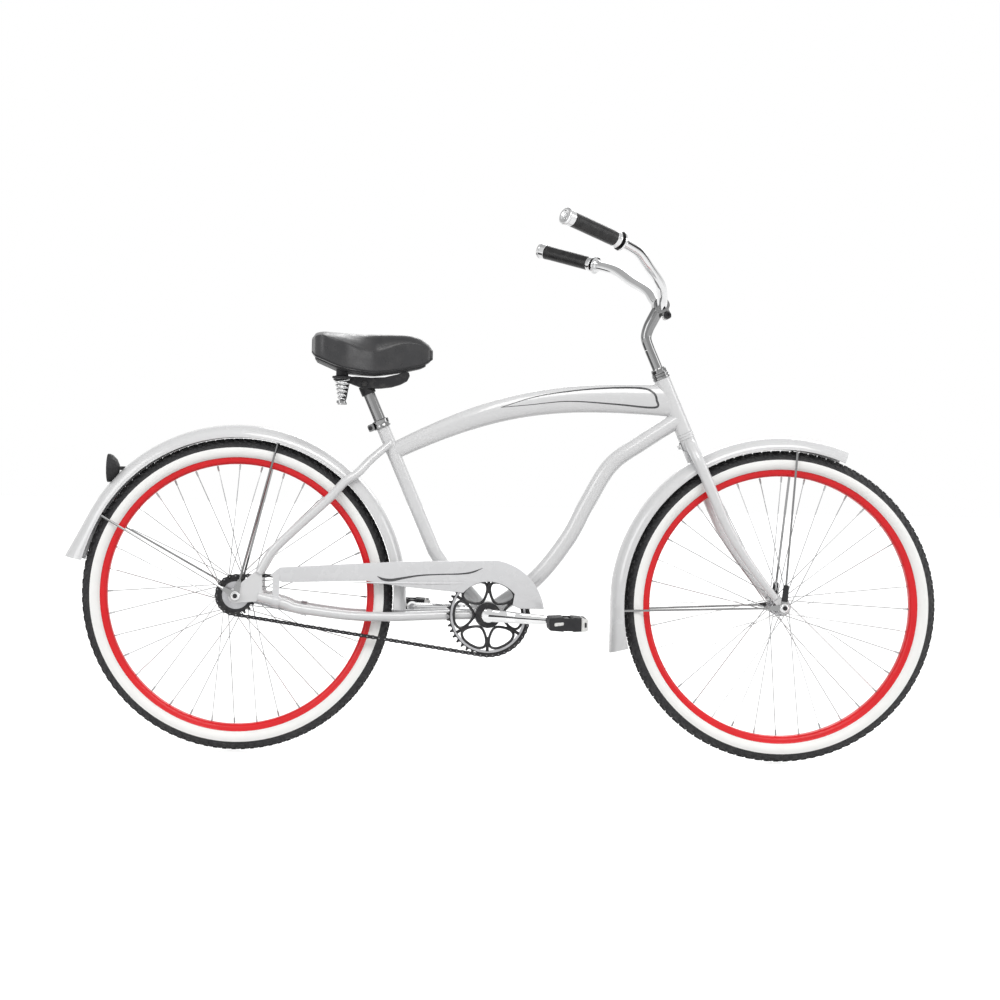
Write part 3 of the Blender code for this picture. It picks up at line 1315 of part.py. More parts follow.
def front_fender():
    """The fender with the bracket that hangs it from the back of the crown."""
    behind = CROWN_RADIUS + CLEARANCE
    thick = 2 * MM
    back = behind + thick / 2
    strap_angle = STEER_ANGLE_WORLD + math.asin((FORK_OFFSET + back) / FENDER_RADIUS)
    piece = fender("front_fender", FRONT_HUB, FRONT_FENDER_FRONT, FRONT_FENDER_TAIL,
                   (FRONT_STAY_TOP, FRONT_STAY_REAR, strap_angle))
    sunk = FENDER_RADIUS - FENDER_THICKNESS / 2
    bottom = math.sqrt(sunk ** 2 - (FORK_OFFSET + behind + thick) ** 2)
    top = CROWN_TOP - 2 * MM
    turn = Matrix.Rotation(math.pi / 2 - STEER_ANGLE, 4, "Y").inverted()
    strap = box("fender_strap", steer((bottom + top) / 2, -back), (thick, 16 * MM, top - bottom),
                None, turn)
    level = CROWN_TOP - 12 * MM
    bolt = rod("fender_bolt", steer(level, -back), steer(level, -back - 7 * MM), 5 * MM, None, 6)
    return join(piece, strap, bolt)


# Stem and handlebar

STEM_RISE = 145 * MM
CLAMP_ALONG = HEAD_TUBE_TOP + STEM_RISE
CLAMP_FORWARD = 57 * MM
CLAMP_CENTRE = steer(CLAMP_ALONG, CLAMP_FORWARD)
QUILL_INSERT = 70 * MM
STEM_BENDS = ((75, 0, 1), (52, 0.04, 1.02), (35, 0.25, 1.1), (21, 0.53, 1.15),
              (2, 0.95, 1.15))
BINDER_DROP = 24 * MM
BINDER_EAR_HALF = 13 * MM


def stem():
    """A quill stem: the quill, the forged arm, and a clamp with two ears and a slit."""
    points = [steer(HEAD_TUBE_TOP - QUILL_INSERT)]
    points += [steer(CLAMP_ALONG - below * MM, forward * CLAMP_FORWARD)
               for below, forward, _ in STEM_BENDS]
    radii = [1] + [share for _, _, share in STEM_BENDS]
    body = tube("stem", points, QUILL_RADIUS, CHROME, 12, radii)
    half = Y_AXIS * CLAMP_WIDTH / 2
    join(body, rod("stem_clamp", CLAMP_CENTRE - half, CLAMP_CENTRE + half, CLAMP_RADIUS, None, 16))
    turn = Matrix.Rotation(math.pi / 2 - STEER_ANGLE, 4, "Y").inverted()
    ear = steer(CLAMP_ALONG - BINDER_DROP + 4 * MM, CLAMP_FORWARD + 3 * MM)
    join(body, box("stem_ears", ear, (17 * MM, BINDER_EAR_HALF * 2, 25 * MM), None, turn))
    cut(body, rod("bar_bore", CLAMP_CENTRE - half * 1.3, CLAMP_CENTRE + half * 1.3,
                  BAR_RADIUS + CLEARANCE, None, 16))
    slit = steer(CLAMP_ALONG - BINDER_DROP - 4 * MM, CLAMP_FORWARD + 6 * MM)
    cut(body, box("stem_slit", slit, (24 * MM, 2.5 * MM, 24 * MM), None, turn))
    bolt = binder_centre()
    reach = Y_AXIS * BINDER_EAR_HALF * 1.3
    return cut(body, rod("binder_hole", bolt - reach, bolt + reach, BINDER_RADIUS + CLEARANCE,
                         None, 10))


def binder_centre():
    return steer(CLAMP_ALONG - BINDER_DROP, CLAMP_FORWARD + 4 * MM)


def binder_bolt():
    centre = binder_centre()
    near = BINDER_EAR_HALF + CLEARANCE
    bolt = rod("stem_binder_bolt", centre - Y_AXIS * (near + 3 * MM),
               centre + Y_AXIS * (near + 6 * MM),
               BINDER_RADIUS, CHROME, 10)
    head = rod("binder_head", centre - Y_AXIS * near, centre - Y_AXIS * (near + 6 * MM),
               7.5 * MM, None, 12, 6 * MM)
    nut = rod("binder_nut", centre + Y_AXIS * near, centre + Y_AXIS * (near + 4 * MM),
              7 * MM, None, 6)
    return join(bolt, head, nut)


BAR_HALF_WIDTH = 325 * MM
BAR_BENDS = ((0, 0, 0), (0, 0, 0.0738), (-6, 17, 0.1969), (-16, 38, 0.3077),
             (-45, 64, 0.4769), (-74, 91, 0.6154), (-108, 105, 0.7323))
GRIP_START = (-114, 107, 0.7538)
BAR_END = (-231, 145, 1)
BAR_FLANGE_RADIUS = 20 * MM
GRIP_CAP_RADIUS = 18 * MM
BAR_BORE = 8.7 * MM


def bar_point(offset, side):
    x, z, share = offset
    return CLAMP_CENTRE + Vector((x * MM, side * share * BAR_HALF_WIDTH, z * MM))


def grip_line(side):
    start = bar_point(GRIP_START, side)
    end = bar_point(BAR_END, side)
    return start, end, (end - start).normalized()


def handlebar():
    """A swept-back bar in one piece, with a collar in front of each grip."""
    halves = {}
    for side in (-1, 1):
        bends = [bar_point(offset, side) for offset in BAR_BENDS]
        halves[side] = [*bends, bar_point(GRIP_START, side)]
        halves[side].append(bar_point(BAR_END, side))
    path = halves[-1][::-1] + halves[1][1:]
    bar = tube("handlebar", path, BAR_RADIUS, CHROME, 10)
    for side in (-1, 1):
        start, end, along = grip_line(side)
        join(bar, rod("bar_collar", start, start + along * 4 * MM, BAR_FLANGE_RADIUS, None, 16))
        cut(bar, rod("bar_end_bore", end - along * 20 * MM, end + along * 2 * MM, BAR_BORE,
                     None, 12))
    return bar


def grip(tag, side):
    """A ribbed rubber grip on the bar's end."""
    start, end, along = grip_line(side)
    first = 4 * MM + CLEARANCE
    last = (end - start).length
    bore = bore_radius(BAR_RADIUS, 10)
    profile = [(bore, last), (bore, first), (GRIP_RADIUS, first)]
    pitch = (last - first) / GRIP_RIBS
    for rib in range(GRIP_RIBS):
        base = first + rib * pitch
        profile += [(GRIP_RADIUS, base + pitch * 0.3),
                    (GRIP_RADIUS - GRIP_RIB_HEIGHT, base + pitch * 0.7)]
    profile.append((GRIP_RADIUS, last))
    return turned(f"grip_{tag}", profile, start, along, BLACK_PLASTIC, 10)


def grip_cap(tag, side):
    """An open chrome ring that closes the grip's end, with a sleeve inside the bar."""
    start, end, along = grip_line(side)
    face = CLEARANCE
    sleeve = BAR_BORE - 2 * CLEARANCE
    bore = sleeve - 2 * MM
    profile = [(bore, -10 * MM), (sleeve, -10 * MM), (sleeve, face), (GRIP_CAP_RADIUS, face),
               (GRIP_CAP_RADIUS, face + 3 * MM), (GRIP_CAP_RADIUS - 2 * MM, face + 5 * MM),
               (bore, face + 5 * MM)]
    return turned(f"grip_cap_{tag}", profile, end, along, CHROME, 14)


# Seat

SEATPOST_INSERT = 120 * MM
SADDLE_RISE = 89 * MM
SADDLE_ALONG = SEAT_TUBE_TOP + SADDLE_RISE
SADDLE_PIVOT = seat_line(SADDLE_ALONG)
CLAMP_BLOCK_RADIUS = 13 * MM
CLAMP_BLOCK_HALF = 14 * MM
CHEEK_RADIUS = 12.5 * MM
CHEEK_THICKNESS = 9 * MM
CLAMP_TRIM = 80 * MM
SPRING_SIDE = 50 * MM
SPRING_BACK = -48 * MM
SPRING_FOOT = -38 * MM
SPRING_HEAD = 8 * MM
SPRING_STEPS = 8


def seatpost():
    start = seat_line(SEAT_TUBE_TOP - SEATPOST_INSERT)
    end = seat_line(SADDLE_ALONG - CLAMP_BLOCK_RADIUS + 4 * MM)
    return rod("seatpost", start, end, SEATPOST_RADIUS, CHROME, 16)


def saddle_clamp():
    """The clamp's middle block on the post, with the cross bolt that the cheeks turn on."""
    sleeve_wall = 3.5 * MM
    low = SADDLE_ALONG - CLAMP_BLOCK_RADIUS - 16 * MM
    clamp = rod("saddle_clamp", seat_line(low), SADDLE_PIVOT,
                SEATPOST_RADIUS + CLEARANCE + sleeve_wall, STEEL, 16)
    half = Y_AXIS * CLAMP_BLOCK_HALF
    outer = seat_line(low)
    join(clamp, rod("clamp_block", SADDLE_PIVOT - half, SADDLE_PIVOT + half,
                    CLAMP_BLOCK_RADIUS, None, 14))
    for side in (-1, 1):
        centre = (outer + SADDLE_PIVOT) / 2 + Y_AXIS * side * (CLAMP_BLOCK_HALF + 10 * MM)
        cut(clamp, box("clamp_side_trim", centre, (CLAMP_TRIM, 20 * MM, CLAMP_TRIM), None))
    bolt_half = CLAMP_BLOCK_HALF + 2 * CLEARANCE + CHEEK_THICKNESS
    bolt = Y_AXIS * (bolt_half + 6 * MM)
    join(clamp, rod("clamp_bolt", SADDLE_PIVOT - bolt, SADDLE_PIVOT + bolt, 4 * MM, None, 12))
    for side in (-1, 1):
        join(clamp, rod("clamp_nut", SADDLE_PIVOT + Y_AXIS * side * bolt_half,
                        SADDLE_PIVOT + Y_AXIS * side * (bolt_half + 5 * MM), 7 * MM, None, 6))
    post_top = SADDLE_ALONG - CLAMP_BLOCK_RADIUS + 4 * MM + CLEARANCE
    return cut(clamp, rod("post_bore", seat_line(low - 5 * MM), seat_line(post_top),
                          SEATPOST_RADIUS + CLEARANCE, None, 16))


RAIL_ROUTE = ((78, 14, 0), (78, 14, 10), (68, 11, 18), (40, 1, 18.8), (0, -1, 18.8),
              (-20, -9, 24), (-40, -31, 40), (-48, -43.5, 48))


def saddle_point(x, z, y=0.0):
    return SADDLE_PIVOT + Vector((x * MM, y * MM, z * MM))


def saddle_rails():
    """Two wires bent from one, with the clamp's cheeks and a seat for each spring."""
    halves = {side: [saddle_point(x, z, side * y) for x, z, y in RAIL_ROUTE]
              for side in (-1, 1)}
    path = halves[-1][::-1] + halves[1][1:]
    rails = tube("saddle_rails", path, RAIL_RADIUS, CHROME, 6)
    inner = CLAMP_BLOCK_HALF + CLEARANCE
    for side in (-1, 1):
        start = SADDLE_PIVOT + Y_AXIS * side * inner
        end = start + Y_AXIS * side * CHEEK_THICKNESS
        join(rails, rod("cheek", start, end, CHEEK_RADIUS, None, 14))
        cut(rails, rod("cheek_bore", start - Y_AXIS * side * OVERRUN,
                       end + Y_AXIS * side * OVERRUN, 4 * MM + CLEARANCE, None, 10))
        foot = spring_axis(side, SPRING_FOOT)
        join(rails, rod("spring_seat", foot - Z_AXIS * (6 * MM), foot - Z_AXIS * CLEARANCE,
                        SPRING_BOTTOM_RADIUS + 4 * MM, None, 12))
    return rails


def spring_axis(side, height):
    return SADDLE_PIVOT + Vector((SPRING_BACK, side * SPRING_SIDE, height))


def saddle_spring(tag, side):
    """A cone-shaped coil, wide at the top."""
    count = SPRING_TURNS * SPRING_STEPS
    points = []
    for i in range(count + 1):
        share = i / count
        radius = SPRING_BOTTOM_RADIUS + (SPRING_TOP_RADIUS - SPRING_BOTTOM_RADIUS) * share
        height = SPRING_FOOT + SPRING_WIRE_RADIUS
        height += (SPRING_HEAD - SPRING_FOOT - 2 * SPRING_WIRE_RADIUS) * share
        turn = math.tau * SPRING_TURNS * share
        centre = spring_axis(side, height)
        points.append(centre + Vector((radius * math.cos(turn), side * radius * math.sin(turn), 0)))
    return tube(f"saddle_spring_{tag}", points, SPRING_WIRE_RADIUS, CHROME, 6)


SADDLE_STATIONS = ((-112, 62, 93, 66), (-104, 92, 104, 56), (-88, 106, 108, 45),
                   (-63, 107, 107, 34), (-42, 99, 105, 27), (-22, 84, 104.5, 24),
                   (-2, 66, 104, 22), (18, 50, 105, 21), (40, 41, 105, 23), (66, 34, 105, 27),
                   (93, 29, 104, 32), (118, 24, 97, 38), (134, 18, 86, 46), (143, 9, 74, 54))
COVER_SIDES = 14


def saddle_section(x, half_width, top, bottom, sides):
    """A section of the cover: a crowned top, full sides and a flat bottom."""
    ring = []
    middle = bottom + (top - bottom) * 0.42
    for k in range(sides):
        turn = math.tau * (k + 0.5) / sides
        c, s = math.cos(turn), math.sin(turn)
        wide = math.copysign(abs(c) ** 0.75, c) * half_width
        if s > 0:
            high = middle + (top - middle) * s ** 0.85
        else:
            high = middle - (middle - bottom) * min(1.0, (-s) ** 0.6 * 1.05)
        ring.append(saddle_point(x, high, wide))
    return ring


def saddle_cover():
    rings = [saddle_section(*station, COVER_SIDES) for station in SADDLE_STATIONS]
    return loft("saddle_cover", rings, COVER_VINYL)


PAN_STATIONS = ((-100, 84, 40), (-88, 91, 22), (-82, 93, 9.5), (-63, 94, 8.3), (-42, 88, 8.3),
                (-34, 84, 8.3), (-26, 76, 18.6), (-22, 73, 18.6), (-2, 56, 18.4), (18, 42, 18.4),
                (40, 36, 20), (66, 29, 20), (72, 28, 17.9), (86, 26, 17.9), (93, 25, 26),
                (118, 18, 33), (124, 15, 35))


def cover_bottom(x):
    """Height of the cover's underside at a station along the saddle."""
    for (x0, _, _, low), (x1, _, _, high) in zip(SADDLE_STATIONS, SADDLE_STATIONS[1:]):
        if x0 <= x <= x1:
            return low + (high - low) * (x - x0) / (x1 - x0)
    return SADDLE_STATIONS[-1][3]


def saddle_pan():
    """The moulded base under the cover."""
    rings = []
    for x, half_width, low in PAN_STATIONS:
        top = cover_bottom(x) * MM - CLEARANCE
        bottom = low * MM
        ring = []
        for wide, high in ((1, top), (-1, top), (-1, (top + bottom) / 2), (-0.86, bottom),
                           (0.86, bottom), (1, (top + bottom) / 2)):
            point = saddle_point(x, 0, half_width * wide)
            point.z += high
            ring.append(point)
        rings.append(ring)
    return loft("saddle_pan", rings, BLACK_PLASTIC)


# The bicycle, put together on its joints

def bicycle():
    base = pivot("bicycle_frame", Vector((0, 0, 0)), Z_AXIS)
    steering = pivot("steering_axis", steer(HEAD_TUBE_BOTTOM), STEER_UP, base)
    stem_slide = pivot("stem_height_axis", steer(STEERER_TOP), STEER_UP, steering)
    bar_tilt = pivot("handlebar_axis", CLAMP_CENTRE, Y_AXIS, stem_slide)
    front_spin = pivot("front_wheel_axis", FRONT_HUB, Y_AXIS, steering)
    rear_spin = pivot("rear_wheel_axis", REAR_HUB, Y_AXIS, base)
    cog_spin = pivot("rear_cog_axis", REAR_HUB, Y_AXIS, base)
    crank_spin = pivot("crank_axis", BRACKET, Y_AXIS, base)
    post_slide = pivot("seatpost_axis", seat_line(SEAT_TUBE_TOP), SEAT_UP, base)
    saddle_tilt = pivot("saddle_tilt_axis", SADDLE_PIVOT, Y_AXIS, post_slide)
    nose = saddle_point(RAIL_ROUTE[0][0], RAIL_ROUTE[0][1])
    saddle_rock = pivot("saddle_rock_axis", nose, Y_AXIS, saddle_tilt)

    guard = hang_guard(chain_guard())
    lamp, bracket = rear_reflector()
    rear_axle = axle("rear_axle", REAR_HUB, REAR_DROPOUT_HALF,
                     REAR_DROPOUT_HALF + DROPOUT_THICKNESS + 2 * (STAY_EYE_THICKNESS + CLEARANCE),
                     DRIVER_OUTER_Y - CLEARANCE, BRAKE_ARM_Y + 1.5 * MM + CLEARANCE)
    rear_eye = REAR_DROPOUT_HALF + DROPOUT_THICKNESS + CLEARANCE + STAY_EYE_THICKNESS / 2
    front_eye = FRONT_DROPOUT_HALF + DROPOUT_THICKNESS + CLEARANCE + STAY_EYE_THICKNESS / 2
    next_eye = STAY_EYE_THICKNESS + CLEARANCE
    fixed = frame_pieces() + [
        guard, lamp, bracket, rear_axle, brake_arm(), chain(),
        fender("rear_fender", REAR_HUB, REAR_FENDER_FRONT, REAR_FENDER_TAIL,
               (SEATSTAY_BRIDGE_ANGLE, REAR_STAY_UPPER, REFLECTOR_ANGLE, REAR_STAY_LOWER)),
        fender_stay("rear_fender_stay_upper", REAR_HUB, REAR_STAY_UPPER, rear_eye),
        fender_stay("rear_fender_stay_lower", REAR_HUB, REAR_STAY_LOWER, rear_eye + next_eye)]
    cup_lower, cup_upper, lock_nut = headset()
    fixed += [cup_lower, cup_upper]
    for piece in fixed:
        attach(piece, base)

    front_axle = axle("front_axle", FRONT_HUB, FRONT_DROPOUT_HALF,
                      FRONT_DROPOUT_HALF + DROPOUT_THICKNESS
                      + 2 * (STAY_EYE_THICKNESS + CLEARANCE),
                      -FRONT_HUB_HALF - CLEARANCE, FRONT_HUB_HALF + CLEARANCE)
    for piece in (fork_steerer(), fork_blade("right", -1), fork_blade("left", 1), lock_nut,
                  front_axle, front_fender(),
                  fender_stay("front_fender_stay_top", FRONT_HUB, FRONT_STAY_TOP, front_eye),
                  fender_stay("front_fender_stay_rear", FRONT_HUB, FRONT_STAY_REAR,
                              front_eye + next_eye)):
        attach(piece, steering)

    wheel("front", FRONT_HUB, front_spin,
          hub_shell("front_hub", FRONT_HUB, FRONT_FLANGE_Y, FRONT_FLANGE_RADIUS,
                    FRONT_SHELL_RADIUS, -FRONT_HUB_HALF, FRONT_HUB_HALF, 9 * MM))
    wheel("rear", REAR_HUB, rear_spin,
          hub_shell("rear_hub", REAR_HUB, REAR_FLANGE_Y, REAR_FLANGE_RADIUS,
                    REAR_SHELL_RADIUS, DRIVER_INNER_Y + CLEARANCE,
                    BRAKE_ARM_Y - 1.5 * MM - CLEARANCE, 17 * MM))
    attach(rear_cog(), cog_spin)

    attach(crank(), crank_spin)
    attach(chainring(), crank_spin)
    for tag, side, angle in (("right", -1, CRANK_ANGLE), ("left", 1, CRANK_ANGLE + math.pi)):
        eye = crank_point(CRANK_LENGTH, side * CRANK_ARM_Y, angle)
        pedal_spin = pivot(f"pedal_{tag}_axis", eye, Y_AXIS, crank_spin)
        attach(pedal_spindle(tag, side, eye), crank_spin)
        attach(pedal(tag, side, eye), pedal_spin)

    for piece in (stem(), binder_bolt()):
        attach(piece, stem_slide)
    attach(handlebar(), bar_tilt)
    for tag, side in (("right", -1), ("left", 1)):
        attach(grip(tag, side), bar_tilt)
        attach(grip_cap(tag, side), bar_tilt)

    attach(seatpost(), post_slide)
    attach(saddle_clamp(), post_slide)
    attach(saddle_rails(), saddle_tilt)
    for tag, side in (("right", -1), ("left", 1)):
        attach(saddle_spring(tag, side), saddle_tilt)
    attach(saddle_pan(), saddle_rock)
    attach(saddle_cover(), saddle_rock)


FRONT_HUB_HALF = 35 * MM
bicycle()
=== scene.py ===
"""The looks of a beach cruiser bicycle, dressed on its solids.

+X is forward, +Z up and -Y the drive side, as in the bicycle's own frame. Shapes are made in
millimetres and become metres as they turn into objects. The room and its lights are in metres.
"""
from math import asin, atan2, copysign, cos, pi, radians, sin, sqrt, tau

import bmesh
import bpy
from mathutils import Matrix, Vector


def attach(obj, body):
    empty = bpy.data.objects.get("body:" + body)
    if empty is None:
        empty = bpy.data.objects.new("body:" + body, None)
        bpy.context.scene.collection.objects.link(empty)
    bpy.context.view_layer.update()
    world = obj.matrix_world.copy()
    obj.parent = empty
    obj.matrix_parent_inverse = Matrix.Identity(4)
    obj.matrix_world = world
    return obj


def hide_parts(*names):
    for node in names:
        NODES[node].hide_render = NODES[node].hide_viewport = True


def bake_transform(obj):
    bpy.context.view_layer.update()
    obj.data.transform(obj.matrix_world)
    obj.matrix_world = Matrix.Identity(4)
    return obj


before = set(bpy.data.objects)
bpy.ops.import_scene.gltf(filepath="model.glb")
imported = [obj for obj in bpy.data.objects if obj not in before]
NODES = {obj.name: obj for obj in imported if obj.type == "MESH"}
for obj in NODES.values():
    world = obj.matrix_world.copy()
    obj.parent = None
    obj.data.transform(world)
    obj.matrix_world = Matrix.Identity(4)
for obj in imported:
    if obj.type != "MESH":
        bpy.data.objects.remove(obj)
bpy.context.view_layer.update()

MM = 0.001
X_AXIS = Vector((1, 0, 0))
Y_AXIS = Vector((0, 1, 0))
Z_AXIS = Vector((0, 0, 1))
SIDES = (("right", -1), ("left", 1))

# Wheels
TYRE_RADIUS = 330
TYRE_HALF_WIDTH = 26.5
TREAD_HEIGHT = 3.0
WHITEWALL_RADIUS = 311
RIM_OUTER_RADIUS = 290
RIM_BED_RADIUS = 279
RIM_INNER_RADIUS = 275
RIM_HALF_WIDTH = 17
RIM_BASE_HALF_WIDTH = 12
SPOKES_PER_SIDE = 18
SPOKE_CROSSES = 3
SPOKE_RADIUS = 1.0
SPOKE_OFFSET = 2.0
SPOKE_RIM_Y = 3.0
FLANGE_THICKNESS = 3.5
WHEEL_STEPS = 144
REAR_HUB = Vector((-558.273, 0, TYRE_RADIUS))
FRONT_HUB = Vector((591.227, 0, TYRE_RADIUS))
FRONT_FLANGE_RADIUS = 19.5
FRONT_SHELL_RADIUS = 12.5
FRONT_FLANGE_Y = 30
REAR_FLANGE_RADIUS = 29
REAR_SHELL_RADIUS = 22
REAR_FLANGE_Y = 29
AXLE_RADIUS = 5

# Fenders, as angles about their wheel's hub, from +X round over the top
FENDER_RADIUS = 354
FENDER_HALF_WIDTH = 33
FENDER_DEPTH = 21
FENDER_THICKNESS = 1.5
FENDER_RINGS = 96
FENDER_SPANS = 20
FENDER_FULLNESS = 5
TAIL_FLARE = 16
TAIL_SPREAD = radians(16)

# Drive
CHAIN_PITCH = 12.7
CHAIN_LINKS = 115
RING_TEETH = 42
COG_TEETH = 20
CHAIN_LINE_Y = -45
RING_PITCH_RADIUS = CHAIN_PITCH / 2 / sin(pi / RING_TEETH)
COG_PITCH_RADIUS = CHAIN_PITCH / 2 / sin(pi / COG_TEETH)
BRACKET = Vector((-27.582, 0, 300))

# Steering and bars
BLADE_RAKE = 45
STEER_ANGLE = radians(66.2)
STEER_UP = Vector((-cos(STEER_ANGLE), 0, sin(STEER_ANGLE)))
STEER_FORWARD = Vector((sin(STEER_ANGLE), 0, cos(STEER_ANGLE)))
CLAMP_CENTRE = Vector((325.778, 0, 961.59))
BAR_RADIUS = 11
BAR_BENDS = ((0, 0, 0), (0, 0, 24), (-6, 17, 64), (-16, 38, 100), (-45, 64, 155),
             (-74, 91, 200), (-108, 105, 238))
GRIP_START = (-114, 107, 245)
BAR_END = (-231, 145, 325)

# Seat
SEAT_ANGLE = radians(66.2)
SEAT_UP = Vector((-cos(SEAT_ANGLE), 0, sin(SEAT_ANGLE)))
SEAT_FORWARD = Vector((sin(SEAT_ANGLE), 0, cos(SEAT_ANGLE)))
SEAT_FOOT = BRACKET - SEAT_FORWARD * 53
SADDLE_PIVOT = Vector((-298.025, 0, 781.84))


# Camera, light and ground

WORLD_LEVEL = 0.72
FLOOR_GLOW = 0.72
STRIP_DARKNESS = 0.93
CEILING_SHARE = 0.4


def camera():
    """The photograph's eye: low, far to the right side, and rolled a little."""
    data = bpy.data.cameras.new("camera")
    data.sensor_width = 36
    data.lens = 74.63
    data.shift_x = 0.115
    data.shift_y = -0.031
    data.clip_end = 60
    thing = bpy.data.objects.new("camera", data)
    thing.location = (-0.251, -4.4, 0.602)
    thing.rotation_euler = (radians(90), radians(-1.31), 0)
    bpy.context.scene.collection.objects.link(thing)
    bpy.context.scene.camera = thing


def lamp(name, place, target, size, power, colour=(1, 1, 1)):
    data = bpy.data.lights.new(name, "AREA")
    data.shape = "RECTANGLE"
    data.size, data.size_y = size
    data.energy = power
    data.color = colour
    thing = bpy.data.objects.new(name, data)
    thing.location = place
    aim = Vector(target) - Vector(place)
    thing.rotation_euler = aim.to_track_quat("-Z", "Y").to_euler()
    bpy.context.scene.collection.objects.link(thing)


def math_node(tree, operation, *values):
    """A math node fed by numbers or by other nodes' outputs."""
    node = tree.nodes.new("ShaderNodeMath")
    node.operation = operation
    for socket, value in zip(node.inputs, values):
        if isinstance(value, (int, float)):
            socket.default_value = value
        else:
            tree.links.new(value, socket)
    return node.outputs[0]


def ramp(tree, value, start, end):
    """0 before start and 1 after end, with a soft change between them."""
    node = tree.nodes.new("ShaderNodeMapRange")
    node.interpolation_type = "SMOOTHSTEP"
    node.inputs["From Min"].default_value = start
    node.inputs["From Max"].default_value = end
    tree.links.new(value, node.inputs["Value"])
    return node.outputs["Result"]


def seen_directly(tree):
    """1 for what the eye, a mirror or a glass looks at, and 0 for light that falls on things."""
    paths = tree.nodes.new("ShaderNodeLightPath")
    rays = paths.outputs
    eyes = math_node(tree, "MAXIMUM", rays["Is Camera Ray"], rays["Is Glossy Ray"])
    return math_node(tree, "MAXIMUM", eyes, rays["Is Transmission Ray"]), paths


def white_to_eyes(tree, shaded, level):
    """Adds plain white for what the camera, a mirror or a glass sees of a surface."""
    seen, _ = seen_directly(tree)
    glow = tree.nodes.new("ShaderNodeEmission")
    tree.links.new(math_node(tree, "MULTIPLY", seen, level), glow.inputs["Strength"])
    added = tree.nodes.new("ShaderNodeAddShader")
    tree.links.new(shaded, added.inputs[0])
    tree.links.new(glow.outputs[0], added.inputs[1])
    return added.outputs[0]


def sky(world):
    """A white room. Bright metal also mirrors a dark strip across its ceiling."""
    world.use_nodes = True
    tree = world.node_tree
    seen, paths = seen_directly(tree)
    place = tree.nodes.new("ShaderNodeTexCoord")
    parts = tree.nodes.new("ShaderNodeSeparateXYZ")
    tree.links.new(place.outputs["Generated"], parts.inputs[0])
    x, y, z = parts.outputs
    strip = ramp(tree, z, 0.2, 0.45)
    for value, start, end in ((y, -0.3, -0.05), (y, 0.8, 0.6), (x, 0.62, 0.2)):
        strip = math_node(tree, "MULTIPLY", strip, ramp(tree, value, start, end))
    strip = math_node(tree, "MULTIPLY", strip, CEILING_SHARE)
    line = ramp(tree, x, 0.5, 0.62)
    for value, start, end in ((y, 0.02, 0.12), (y, 0.66, 0.5), (z, 0.42, 0.3), (z, -0.3, -0.2)):
        line = math_node(tree, "MULTIPLY", line, ramp(tree, value, start, end))
    strip = math_node(tree, "MAXIMUM", strip, line)
    dark = math_node(tree, "MULTIPLY", strip, paths.outputs["Is Glossy Ray"])
    bright = math_node(tree, "SUBTRACT", 1.0, math_node(tree, "MULTIPLY", dark, STRIP_DARKNESS))
    level = tree.nodes.new("ShaderNodeMapRange")
    level.inputs["To Min"].default_value = WORLD_LEVEL
    tree.links.new(bright, level.inputs["To Max"])
    tree.links.new(seen, level.inputs["Value"])
    tree.links.new(level.outputs["Result"], tree.nodes["Background"].inputs["Strength"])
    tree.nodes["Background"].inputs["Color"].default_value = (1, 1, 1, 1)


def mirror_patch(tree, shaded):
    """A dark patch on the floor's left that only mirrors show."""
    paths = tree.nodes.new("ShaderNodeLightPath")
    place = tree.nodes.new("ShaderNodeTexCoord")
    parts = tree.nodes.new("ShaderNodeSeparateXYZ")
    tree.links.new(place.outputs["Object"], parts.inputs[0])
    x, y, _ = parts.outputs
    share = math_node(tree, "MULTIPLY", paths.outputs["Is Glossy Ray"], STRIP_DARKNESS)
    for value, start, end in ((x, -1.2, -1.45), (x, -3.4, -2.8), (y, -0.9, -0.5), (y, 1.6, 1.1)):
        share = math_node(tree, "MULTIPLY", share, ramp(tree, value, start, end))
    mixed = tree.nodes.new("ShaderNodeMixShader")
    tree.links.new(share, mixed.inputs[0])
    tree.links.new(shaded, mixed.inputs[1])
    return mixed.outputs[0]


def studio():
    """The white room, its floor and its four lamps."""
    scene = bpy.context.scene
    scene.view_settings.view_transform = "Standard"
    world = bpy.data.worlds.new("studio")
    scene.world = world
    sky(world)

    mesh = bpy.data.meshes.new("floor")
    shape = bmesh.new()
    bmesh.ops.create_grid(shape, x_segments=1, y_segments=1, size=30)
    shape.to_mesh(mesh)
    shape.free()
    floor = bpy.data.objects.new("floor", mesh)
    floor.location = (0, 0, -0.0005)
    scene.collection.objects.link(floor)
    material = bpy.data.materials.new("floor")
    material.use_nodes = True
    nodes = material.node_tree.nodes
    shader = nodes["Principled BSDF"]
    shader.inputs["Base Color"].default_value = (0.5, 0.5, 0.5, 1)
    shader.inputs["Roughness"].default_value = 0.2
    shader.inputs["Specular IOR Level"].default_value = 0.4
    ends = white_to_eyes(material.node_tree, shader.outputs[0], FLOOR_GLOW)
    ends = mirror_patch(material.node_tree, ends)
    material.node_tree.links.new(ends, nodes["Material Output"].inputs["Surface"])
    mesh.materials.append(material)

    lamp("key", (0.6, -3.2, 3.2), (0, 0, 0.5), (2.6, 1.6), 66, (1.0, 0.99, 0.975))
    lamp("fill", (-2.8, -2.4, 1.7), (0, 0, 0.5), (1.6, 2.2), 30)
    lamp("back", (0.8, 2.8, 2.6), (0, 0, 0.5), (2.4, 1.6), 36)
    lamp("front", (3.2, -0.6, 1.4), (0.2, 0, 0.6), (1.2, 1.8), 18)


# Materials

